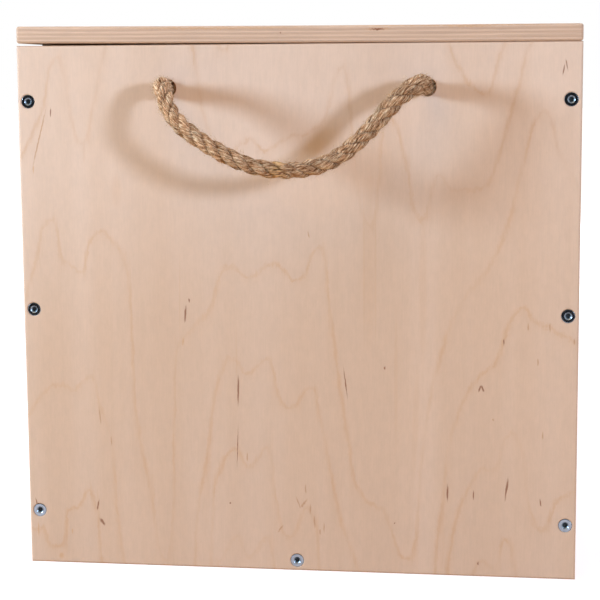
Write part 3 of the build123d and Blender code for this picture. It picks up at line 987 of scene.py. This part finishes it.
def loop_line(end):
    """The loop's line, carried straight on into both holes."""
    line = nurbs_line(loop_points(end))
    into = np.array(turned_for(end, (0.0, 1.0, 0.0)))
    depth = abs(abs(line[0][1]) - abs(FACE_Y)) + HOLE_DEPTH
    lean = np.array(turned_for(end, (HOLE_LEAN, 0.0, 0.0)))
    return np.concatenate([[line[0] + into * depth - lean], line, [line[-1] + into * depth - lean]])


ROOT_DEPTH = 0.0002          # how far under the surface a stray fibre begins
MOST_TILT = 1.1              # radians


def fill_stray_fibres(net, given):
    """Short bent fibres standing out from a rope's surface at random."""
    bends = ((0.35, 0.10, 0.33), (0.25, -0.2, 0.42), (0.5, 0.2, 0.22))
    ends = ((0.95, 0.0, 0.38), (0.6, -0.6, 0.52), (1.1, 0.5, 0.10))
    joined = net.node("GeometryNodeJoinGeometry")
    section = net.node("GeometryNodeCurvePrimitiveCircle", {"Resolution": 3, "Radius": given["Radius"]})
    for bend, end in zip(bends, ends):
        line = net.node("GeometryNodeCurveQuadraticBezier", {
            "Resolution": 3, "Start": (0.0, 0.0, -ROOT_DEPTH),
            "Middle": net.scaled(bend, given["Length"]), "End": net.scaled(end, given["Length"])})
        fibre = net.node("GeometryNodeCurveToMesh", {"Curve": line.outputs[0],
                                                     "Profile Curve": section.outputs["Curve"],
                                                     "Fill Caps": True})
        kept = net.node("GeometryNodeGeometryToInstance", {"Geometry": fibre.outputs[0]})
        net.feed(joined.inputs[0], kept.outputs[0])
    points = net.node("GeometryNodeDistributePointsOnFaces", {
        "Mesh": given["Geometry"], "Density": given["Density"], "Seed": given["Seed"]})
    tilt = net.node("FunctionNodeRandomValue", {
        0: (-MOST_TILT, -MOST_TILT, 0.0), 1: (MOST_TILT, MOST_TILT, 2 * math.pi), "Seed": 3},
        data_type="FLOAT_VECTOR")
    turned = net.node("FunctionNodeRotateRotation", {0: points.outputs["Rotation"], 1: tilt.outputs[0]},
                      rotation_space="LOCAL")
    size = net.node("FunctionNodeRandomValue", {2: 0.3, 3: 1.1, "Seed": 5}, data_type="FLOAT")
    kind = net.node("FunctionNodeRandomValue", {4: 0, 5: len(bends) - 1, "Seed": 7}, data_type="INT")
    placed = net.node("GeometryNodeInstanceOnPoints", {
        "Points": points.outputs["Points"], "Instance": joined.outputs[0], "Pick Instance": True,
        "Instance Index": kind.outputs[2], "Rotation": turned.outputs[0], "Scale": size.outputs[1]})
    return placed.outputs[0]


def stray_fibres(name, rope, seed):
    """The loose hairs of a rope, as a piece of their own."""
    choice = settings().rope
    tree = bpy.data.node_groups.get("Stray Fibres") or geometry_tree(
        "Stray Fibres",
        [("Density", NUMBER), ("Length", NUMBER), ("Radius", NUMBER), ("Seed", "NodeSocketInt"),
         ("Material", "NodeSocketMaterial")], fill_stray_fibres)
    return grown(name, rope.data, tree, {"Density": choice.hairs, "Length": choice.hair_length,
                                         "Radius": choice.hair_radius, "Seed": seed,
                                         "Material": finish("Jute Hair", hair_material)})


class CHUCKBOX_OT_rope_handles(bpy.types.Operator):
    """Lay the rope of the two handles along their loops, with its stray fibres"""
    bl_idname = "chuck_box.rope_handles"
    bl_label = "Rope Handles"

    def execute(self, context):
        material = finish("Jute Rope", jute_material)
        for number, end in enumerate(ENDS):
            handle, line = laid_rope(f"handle_rope_{end}", loop_line(end), loop_thickness, material,
                                     seed=3 + number)
            hairs = stray_fibres(f"handle_hairs_{end}", handle, seed=11 + number)
            for piece in (handle, hairs):
                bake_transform(piece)
                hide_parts(f"rope_handle_{end}")
        return {"FINISHED"}


# ---------------------------------------------------------------- the knots inside
KNOT_POINTS = 150
KNOT_RADIUS = 0.0051         # the rope is squeezed thinner where it is knotted
KNOT_SCALE = 0.006
KNOT_END = 0.060             # half the length of the loose knot, along its axis
KNOT_TAIL_END = 0.0405       # the rope's end, inwards of the panel's inner face
STUB_START = 0.004           # where a knot's rope begins, inwards of the panel's outer face
TIGHTEN_ROUNDS = 1400
PULL, PUSH = 0.25, 0.22      # a round's share of the pull to the neighbours and of the push apart
MOST_MOVE = 0.0006           # a point's most move in a round
NEIGHBOURS = 1.6             # thicknesses along the line within which points don't push apart


def loose_overhand():
    """An opened trefoil whose two ends run outwards along X."""
    t = np.linspace(math.pi + 0.5, 3 * math.pi - 0.5, 90)
    loop = np.stack([np.sin(t) + 2 * np.sin(2 * t), np.cos(t) - 2 * np.cos(2 * t), -np.sin(3 * t)],
                    axis=1)
    first = [(KNOT_END / KNOT_SCALE, -4.0, 0.0), (3.0, -4.0, 0.0), (1.4, -3.4, 0.0)]
    last = [(-x, y, z) for x, y, z in reversed(first)]
    line = np.concatenate([first, loop, last]) * KNOT_SCALE
    return respaced(line, 2 * KNOT_END / KNOT_POINTS)[0]


def tightened(line, thickness):
    """Pulls a knotted line tight: it shortens while its turns keep a rope's thickness apart."""
    for _ in range(TIGHTEN_ROUNDS):
        move = np.zeros_like(line)
        move[1:-1] = PULL * (line[:-2] + line[2:] - 2 * line[1:-1])
        apart = line[:, None, :] - line[None, :, :]
        gap = np.linalg.norm(apart, axis=2)
        step = np.linalg.norm(line[1] - line[0])
        index = np.arange(len(line))
        near_along = np.abs(index[:, None] - index[None, :]) * step < NEIGHBOURS * thickness
        push = np.where(near_along | (gap > thickness), 0.0, thickness - gap)
        away = apart / np.maximum(gap, 1e-6)[:, :, None]
        move += PUSH * np.sum(away * push[:, :, None], axis=1)
        reach = np.linalg.norm(move, axis=1)
        move *= np.minimum(1.0, MOST_MOVE / np.maximum(reach, 1e-9))[:, None]
        line = line + move
        line[0], line[-1] = (KNOT_END, 0.0, 0.0), (-KNOT_END, 0.0, 0.0)
        line = respaced(line, line_length(line) / (KNOT_POINTS - 1))[0]
    return smoothed(line, 3)


def knot_line():
    """The tight knot's line, running up Z from the panel's outer part, through the knot, to the tail.
    The panel's inner face is at z = 0."""
    tight = tightened(loose_overhand(), 2 * KNOT_RADIUS)
    line = np.stack([tight[:, 1], tight[:, 2], -tight[:, 0]], axis=1)
    turning = np.linalg.norm(line[:, :2], axis=1) > 0.6 * KNOT_RADIUS
    line[:, 2] += KNOT_RADIUS - line[turning, 2].min()
    line = line[(line[:, 2] > STUB_START - PANEL_THICKNESS) | turning]
    return line[line[:, 2] < KNOT_TAIL_END]


class CHUCKBOX_OT_rope_knots(bpy.types.Operator):
    """Tie the stopper knots on the rope's ends, inside the box"""
    bl_idname = "chuck_box.rope_knots"
    bl_label = "Rope Knots"

    def execute(self, context):
        material = finish("Jute Rope", jute_material)
        shape = knot_line()
        seed = 20
        for end in ENDS:
            for side, way in SIDES.items():
                seed += 1
                spin = math.radians(37 + 80 * seed)
                x = shape[:, 0] * math.cos(spin) - shape[:, 1] * math.sin(spin)
                z = shape[:, 0] * math.sin(spin) + shape[:, 1] * math.cos(spin)
                hole_x = HANDLE_MIDDLE + way * HANDLE_PITCH / 2
                line = np.array([turned_for(end, (hole_x + a, INNER_Y + up, HOLE_Z + b))
                                 for a, b, up in zip(x, z, shape[:, 2])])
                knot, _ = laid_rope(f"rope_knot_{end}_{side}_tied", line,
                                    lambda share: np.full(len(share), KNOT_RADIUS), material, seed)
                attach(knot, "box")
                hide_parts(f"rope_knot_{end}_{side}")
        return {"FINISHED"}


# ---------------------------------------------------------------- the screws
SEGMENTS = 36
LOBES = 6
DRAWN_HEAD = 0.0048          # the head radius for which the recess's depths are given
RECESS_DEPTH = 0.0022
HEAD_EDGE = 0.0003           # how thick the head is at its rim
DRAWN_SHANK, DRAWN_TIP = 0.0025, 0.004    # a shank's radius and the length of its tip
TIP_WIDTH = 0.12             # the blunt end's width, of the shank's
SCREW_SHARP = 32             # degrees, above which an edge stays sharp
SHANK_SHARE = 0.51           # the shank's width, of the head's
MOST_TURN = 60               # degrees, as a six-lobed recess repeats after that
# the near-black painted into the recess, collar and rim: painted shade and dirt
SHADE_AND_SOIL = (0.016, 0.024, 0.030, 1.0)
ZINC_RELIEF = 0.00002


def screw_mesh(name, head, shank, length, material):
    """One countersunk screw, its head's face at the origin and its point down Z."""
    choice = settings().screws
    angles = np.arange(SEGMENTS) * 2 * math.pi / SEGMENTS
    scale = head / DRAWN_HEAD
    recess = head * choice.recess
    lobed = 0.87 + 0.13 * np.cos(LOBES * angles)
    depth = RECESS_DEPTH * scale
    even = np.ones(SEGMENTS)
    # each ring's height, its radii and how dark it is painted, as shade and dirt, from the recess's
    # floor outwards
    rings = [
        (-depth, recess * 0.3 * even, 0.85),
        (-depth, recess * 0.93 * lobed, 0.95),
        (-0.00105 * scale, recess * lobed, 0.9),
        (-0.00092 * scale, recess * (lobed * 0.5 + 0.54), 0.8),
        (-0.00082 * scale, head * (choice.recess + 0.04) * even, 0.55),
        (-0.00006 * scale, head * choice.collar * even, 0.42),
        (0.0, head * (choice.collar + 0.02) * even, 0.0),
        (0.0, head * (choice.collar + 0.05) * even, 0.0),
        (0.0, head * 0.92 * even, 0.0),
        (0.0, head * 0.95 * even, 0.0),
        (-0.00006 * scale, head * 0.98 * even, 0.85),
        (-0.00018 * scale, head * even, 0.95),
        (-HEAD_EDGE, head * even, 0.8),
    ]
    z = -HEAD_EDGE - (head - shank)
    rings.append((z, shank * even, 0.0))
    pitch = 2 * shank * choice.thread_pitch
    tip = DRAWN_TIP * shank / DRAWN_SHANK
    while z > tip - length:
        z -= pitch / 4
        ridge = 1 - 2 * np.abs((angles / (2 * math.pi) + z / pitch) % 1.0 - 0.5)
        taper = np.clip((length + z) / tip, TIP_WIDTH, 1.0)
        rings.append((z, shank * taper * (0.76 + 0.22 * ridge), 0.0))
    rings.append((-length, shank * TIP_WIDTH * even, 0.0))
    vertices, faces, soil = [], [], []
    for z, radii, dirt_and_shade in rings:
        for angle, radius in zip(angles, radii):
            vertices.append((radius * math.cos(angle), radius * math.sin(angle), z))
            soil.append(dirt_and_shade)
    for ring in range(len(rings) - 1):
        low = ring * SEGMENTS
        for k in range(SEGMENTS):
            after = (k + 1) % SEGMENTS
            faces.append((low + k, low + SEGMENTS + k, low + SEGMENTS + after, low + after))
    faces.append(tuple(range(SEGMENTS)))
    faces.append(tuple(reversed(range((len(rings) - 1) * SEGMENTS, len(rings) * SEGMENTS))))
    made = mesh_object(name, vertices, faces, material)
    made.data.set_sharp_from_angle(angle=math.radians(SCREW_SHARP))
    store(made.data, "soil", soil)
    return made


def zinc_material(name):
    """Bright zinc with fine turning marks; its recess, collar and rim are painted dark, as shade and
    old dirt.
    """
    choice = settings().screws
    material, net = new_material(name)
    place = net.node("ShaderNodeTexCoord").outputs["Object"]
    soil = net.node("ShaderNodeAttribute", attribute_name="soil").outputs["Fac"]
    grime = net.noise(place, 900.0, 3.0, 0.6)
    wear = net.noise(place, 260.0, 2.0, 0.5)
    dirt_and_shade = net.times(net.ramp(net.plus(soil, net.times(grime, 0.35)), 0.45, 0.95), 0.95)
    plated = net.mix(net.ramp(wear, 0.3, 0.7), with_alpha(choice.steel),
                     with_alpha([0.86 * c for c in choice.steel]))
    # Painted shade: the recess, collar and rim are painted towards near-black, with random grime over
    # it.
    colour = net.mix(dirt_and_shade, plated, SHADE_AND_SOIL)
    finish_material(net, {"Base Color": colour,
                          "Metallic": net.minus(1.0, net.times(dirt_and_shade, 0.5)),
                          "Roughness": net.plus(net.ramp(grime, 0.3, 0.75, 0.10, 0.18),
                                                net.times(soil, 0.5)),
                          "Normal": bumped(net, grime, ZINC_RELIEF, 0.4)})
    return material


def fill_screw_row(net, given):
    """A screw on each point, its head facing along the point's out attribute, turned at random."""
    screw = net.node("GeometryNodeObjectInfo", {"Object": given["Screw"]}, transform_space="ORIGINAL")
    out = net.node("GeometryNodeInputNamedAttribute", {"Name": "out"}, data_type="FLOAT_VECTOR")
    aligned = net.node("FunctionNodeAlignRotationToVector", {"Vector": out.outputs[0]}, axis="Z")
    turn = net.node("FunctionNodeRandomValue", {2: 0.0, 3: given["Most Turn"], "Seed": given["Seed"]},
                    data_type="FLOAT")
    spin = net.join(0.0, 0.0, turn.outputs[1])
    turned = net.node("FunctionNodeRotateRotation", {0: aligned.outputs[0], 1: spin},
                      rotation_space="LOCAL")
    placed = net.node("GeometryNodeInstanceOnPoints", {"Points": given["Geometry"],
                                                       "Instance": screw.outputs["Geometry"],
                                                       "Rotation": turned.outputs[0]})
    return placed.outputs[0]


def merged_copy(node):
    """A CAD node's mesh with its loose triangles joined."""
    shape = bmesh.new()
    shape.from_mesh(frame["nodes"][node].data)
    bmesh.ops.remove_doubles(shape, verts=shape.verts, dist=0.00001)
    return shape


def islands(shape):
    """The separate parts of a merged mesh, as lists of points."""
    left = set(shape.verts)
    found = []
    while left:
        waiting = [left.pop()]
        part = []
        while waiting:
            vertex = waiting.pop()
            part.append(vertex.co.copy())
            for edge in vertex.link_edges:
                other = edge.other_vert(vertex)
                if other in left:
                    left.remove(other)
                    waiting.append(other)
        found.append(part)
    return found


def screw_seats(node):
    """For each screw of a CAD node: its head's middle, the way the head faces, and its sizes."""
    shape = merged_copy(node)
    seats = []
    for part in islands(shape):
        points = np.array(part)
        low, high = points.min(0), points.max(0)
        axis = int(np.argmax(high - low))
        middle = (low + high) / 2
        others = [k for k in range(3) if k != axis]
        widths = np.linalg.norm(points[:, others] - middle[others], axis=1)
        head = widths.max()
        at_head = points[widths > 0.99 * head][:, axis].mean()
        facing = 1.0 if at_head > middle[axis] else -1.0
        out = np.zeros(3)
        out[axis] = facing
        middle[axis] = high[axis] if facing > 0 else low[axis]
        seats.append((Vector(middle), Vector(out), float(head), float((high - low)[axis])))
    shape.free()
    return sorted(seats, key=lambda seat: tuple(round(c, 4) for c in seat[0]))


class CHUCKBOX_OT_screws(bpy.types.Operator):
    """Drive the countersunk screws of the case, its fittings, the tray and the lid"""
    bl_idname = "chuck_box.screws"
    bl_label = "Screws"

    def execute(self, context):
        choice = settings().screws
        material = finish("Zinc", zinc_material)
        tree = geometry_tree(
            "Screw Row",
            [("Screw", "NodeSocketObject"), ("Most Turn", NUMBER), ("Seed", "NodeSocketInt"),
             ("Material", "NodeSocketMaterial")], fill_screw_row)
        kinds = {}
        for body, members in frame["record"]["behaviour"]["bodies"].items():
            for node in (name for name in members if "screws" in name):
                seats = screw_seats(node)
                _, _, head, length = seats[0]
                size = (round(head * 10000), round(length * 1000))
                if size not in kinds:
                    kinds[size] = screw_mesh(f"screw_{size[0]}", head, head * SHANK_SHARE, length,
                                             material)
                points = bpy.data.meshes.new(node)
                lifted = [where + Vector((0, 0, lid_lift(where) if body == "lid" else 0))
                          for where, *_ in seats]
                points.from_pydata(lifted, [], [])
                store(points, "out", [c for seat in seats for c in seat[1]], "FLOAT_VECTOR")
                row = grown(f"{node}_zinc", points, tree,
                            {"Screw": kinds[size], "Most Turn": math.radians(MOST_TURN),
                             "Seed": choice.seed + len(node), "Material": material})
                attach(row, body)
                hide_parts(node)
        for prototype in kinds.values():
            bpy.data.objects.remove(prototype)
        return {"FINISHED"}


# ---------------------------------------------------------------- the lid
LID_CUTS = 0.04              # the spacing of the cuts that let the lid's parts bend
LID_SHARP = 25               # degrees, above which an edge stays sharp
SANDED_OFF = 0.0004          # how much thinner the lid's upper face ply is than its lower one


def lid_lift(place):
    """How far the bowed lid stands above the walls at a place."""
    lid = settings().lid
    share = ((HALF_WIDTH - place[0]) / (2 * HALF_WIDTH)) ** 2
    reach = max(0.0, lid.rest_y - place[1]) / (lid.rest_y - FACE_Y)
    return (lid.lift_right + (lid.lift_left - lid.lift_right) * share) * reach ** 1.5


def bowed(node):
    """A lid part's mesh, bent with the lid. Its flat_place says where each point was."""
    shape = merged_copy(node)
    low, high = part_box(node)
    for axis in (0, 1):
        at = low[axis] + LID_CUTS
        while at < high[axis] - LID_CUTS / 2:
            plane, normal = Vector(), Vector()
            plane[axis], normal[axis] = at, 1.0
            bmesh.ops.bisect_plane(shape, geom=shape.verts[:] + shape.edges[:] + shape.faces[:],
                                   plane_co=plane, plane_no=normal, dist=0.00002)
            at += LID_CUTS
    mesh = bpy.data.meshes.new(node)
    shape.to_mesh(mesh)
    shape.free()
    flat = [c for v in mesh.vertices for c in v.co]
    for vertex in mesh.vertices:
        vertex.co.z += lid_lift(vertex.co)
    store(mesh, "flat_place", flat, "FLOAT_VECTOR")
    mesh.polygons.foreach_set("use_smooth", [True] * len(mesh.polygons))
    mesh.set_sharp_from_angle(angle=math.radians(LID_SHARP))
    mesh.update()
    return added_object(f"{node}_bowed", mesh)


class CHUCKBOX_OT_lid(bpy.types.Operator):
    """Veneer the lid and the frame under it, with the lid's slight bow"""
    bl_idname = "chuck_box.lid"
    bl_label = "Lid"

    def execute(self, context):
        wood = settings().plywood
        boards = {"lid_panel": ("xzy", (0.06, -SANDED_OFF, 0.12))}
        for side in SIDES:
            boards[f"lid_batten_{side}"] = ("xzy", (0.41, 0.0, 0.33))
        for end in ENDS:
            boards[f"lid_batten_{end}"] = ("yzx", (0.83, 0.0, 0.57))
        for node, (order, shift) in boards.items():
            low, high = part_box(node)
            piece = bowed(node)
            flecks = [(with_alpha(wood.orange), 0.6, LID_EDGE_STREAKS),
                      (with_alpha(wood.fleck), 0.95, LID_EDGE_FLECKS)]
            piece.data.materials.append(plywood_material(
                node.replace("_", " ").title(), low, high, order, CASE_PLIES, shift=shift, figure=0.8,
                place_from="flat_place", edge_marks=flecks if node == "lid_panel" else ()))
            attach(piece, "lid")
            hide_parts(node)
        return {"FINISHED"}


# ---------------------------------------------------------------- the stage
def lamp(name, place, aim, size, power, colour, spread):
    """A round soft lamp. spread is the angle in degrees that its light stays within."""
    data = bpy.data.lights.new(name, "AREA")
    data.shape = "DISK"
    data.size = size
    data.energy = power
    data.color = colour
    data.spread = math.radians(spread)
    made = added_object(name, data)
    made.location = place
    made.rotation_euler = (Vector(aim) - Vector(place)).to_track_quat("-Z", "Y").to_euler()


def seen_directly(net):
    """1 for the camera's rays and for those that a mirror or glass sends on."""
    path = net.node("ShaderNodeLightPath").outputs
    seen = net.math("MAXIMUM", path["Is Camera Ray"], path["Is Glossy Ray"])
    return net.math("MAXIMUM", seen, path["Is Transmission Ray"])


CAMERA_PLACE = (0.16823, -1.47331, 0.36635)
CAMERA_RIGHT = (0.9904067, 0.13798596, -0.00737882)
CAMERA_UP = (-0.01203451, 0.13932847, 0.99017309)
SENSOR_WIDTH = 36.0          # millimetres
FRONT_AIM, REAR_AIM, LID_AIM = (0.0, -0.30, 0.27), (0.0, 0.3, 0.2), (0.0, 0.12, 0.4)
# Each lamp's name, place, aim, width, colour and spread in degrees.
LAMPS = [
    ("right", (1.553, -1.820, 0.724), FRONT_AIM, 0.29, (0.60, 0.785, 1.0), 180),
    ("left", (-1.41, -0.97, 0.632), FRONT_AIM, 0.38, (0.56, 0.79, 1.0), 180),
    ("top", (-0.45, -1.15, 1.35), FRONT_AIM, 1.0, (1.0, 0.65, 0.20), 180),
    ("rear", (0.7, 2.1, 1.0), REAR_AIM, 1.0, (0.66, 0.84, 1.0), 180),
    ("lid", (0.0, 0.5, 1.7), LID_AIM, 0.8, (0.86, 0.95, 1.0), 70),
]
FLOOR_REACH = 12.0
FLOOR_SEEN = (0.88, 0.74, 0.74, 1.0)      # the paint that the camera sees on the floor
FLOOR_GLOW = (0.50, 0.50, 0.50, 1.0)      # the light of its own that it shows round the box
GLOW_NEAR, GLOW_FAR = 0.4, 2.0            # the distances between which that grows to white
CARD_LEFT, CARD_RIGHT, CARD_Y = -1.0, 0.8, -0.95
CARD_LOW, CARD_HIGH = 0.002, 0.85
CARD = (0.06, 0.065, 0.078, 1.0)


class CHUCKBOX_OT_stage(bpy.types.Operator):
    """Set up the floor, the soft lamps, the white surroundings and the camera"""
    bl_idname = "chuck_box.stage"
    bl_label = "Stage"

    def add_dark_card(self):
        """A dark card before the box, seen only as a reflection in metal."""
        card_paint, net = new_material("Dark Card")
        finish_material(net, {"Base Color": CARD, "Roughness": 1.0, "Specular IOR Level": 0.0})
        corners = [(CARD_LEFT, CARD_Y, CARD_LOW), (CARD_RIGHT, CARD_Y, CARD_LOW),
                   (CARD_RIGHT, CARD_Y, CARD_HIGH), (CARD_LEFT, CARD_Y, CARD_HIGH)]
        card = mesh_object("dark_card", corners, [(0, 1, 2, 3)], card_paint, smooth=False)
        card.visible_camera = False
        card.visible_diffuse = False
        card.visible_shadow = False
        card.visible_transmission = False

    def add_surroundings(self, ambient):
        """Surroundings that look white and light the box in their own colour."""
        world = bpy.data.worlds.new("White Room")
        world.use_nodes = True
        net = Net(world.node_tree)
        colour = net.mix(seen_directly(net), with_alpha(ambient), WHITE)
        background = net.node("ShaderNodeBackground", {"Color": colour, "Strength": 1.0})
        net.node("ShaderNodeOutputWorld", {"Surface": background.outputs[0]})
        bpy.context.scene.world = world

    def add_floor(self, colour):
        """A floor that is lit in its own colour and looks white, but for the box's faint shadow."""
        floor_paint, net = new_material("Floor Paint")
        away = net.vector("LENGTH", net.node("ShaderNodeTexCoord").outputs["Object"])
        glow = net.mix(net.ramp(away, GLOW_NEAR, GLOW_FAR), FLOOR_GLOW, WHITE)
        seen = seen_directly(net)
        finish_material(net, {"Base Color": net.mix(seen, with_alpha(colour), FLOOR_SEEN),
                              "Roughness": 0.9, "Specular IOR Level": 0.1,
                              "Emission Color": net.mix(seen, BLACK, glow),
                              "Emission Strength": 1.0})
        corners = [(-FLOOR_REACH, -FLOOR_REACH, 0), (FLOOR_REACH, -FLOOR_REACH, 0),
                   (FLOOR_REACH, FLOOR_REACH, 0), (-FLOOR_REACH, FLOOR_REACH, 0)]
        mesh_object("floor", corners, [(0, 1, 2, 3)], floor_paint, smooth=False)

    def add_camera(self, lens):
        """The camera, before the box and slightly to its right."""
        data = bpy.data.cameras.new("camera")
        data.lens = lens
        data.sensor_width = SENSOR_WIDTH
        made = added_object("camera", data)
        right, up = Vector(CAMERA_RIGHT), Vector(CAMERA_UP)
        turn = Matrix((right, up, right.cross(up))).transposed()
        made.matrix_world = Matrix.Translation(CAMERA_PLACE) @ turn.to_4x4()
        bpy.context.scene.camera = made

    def execute(self, context):
        stage = settings().stage
        context.scene.view_settings.view_transform = "Standard"
        self.add_surroundings(stage.ambient)
        self.add_floor(stage.floor)
        self.add_dark_card()
        for name, place, aim, size, colour, spread in LAMPS:
            lamp(f"{name}_lamp", place, aim, size, getattr(stage, f"{name}_power"), colour, spread)
        self.add_camera(stage.lens)
        return {"FINISHED"}


# ---------------------------------------------------------------- the add-on
GROUPS = (RopeSettings, PlywoodSettings, ScrewSettings, LidSettings, StageSettings, ChuckBoxSettings)
STEPS = (
    CHUCKBOX_OT_stage,
    CHUCKBOX_OT_rope_knots,
    CHUCKBOX_OT_rope_handles,
    CHUCKBOX_OT_case,
    CHUCKBOX_OT_strips,
    CHUCKBOX_OT_divider,
    CHUCKBOX_OT_tray,
    CHUCKBOX_OT_lid,
    CHUCKBOX_OT_screws,
)


class CHUCKBOX_PT_pieces(bpy.types.Panel):
    """The chuck box's pieces and their settings"""
    bl_idname = "CHUCKBOX_PT_pieces"
    bl_label = "Chuck Box"
    bl_space_type = "VIEW_3D"
    bl_region_type = "UI"
    bl_category = "Chuck Box"

    def draw(self, context):
        chosen = context.scene.chuck_box
        for step in STEPS:
            self.layout.operator(step.bl_idname)
        for group in (chosen.rope, chosen.plywood, chosen.screws, chosen.lid, chosen.stage):
            box = self.layout.box()
            for name in group.__annotations__:
                box.prop(group, name)


def register():
    for cls in (*GROUPS, *STEPS, CHUCKBOX_PT_pieces):
        bpy.utils.register_class(cls)
    bpy.types.Scene.chuck_box = PointerProperty(type=ChuckBoxSettings)


def unregister():
    del bpy.types.Scene.chuck_box
    for cls in reversed((*GROUPS, *STEPS, CHUCKBOX_PT_pieces)):
        bpy.utils.unregister_class(cls)


def main():
    register()
    for step in STEPS:
        category, name = step.bl_idname.split(".")
        getattr(getattr(bpy.ops, category), name)()


if __name__ == "__main__":
    main()
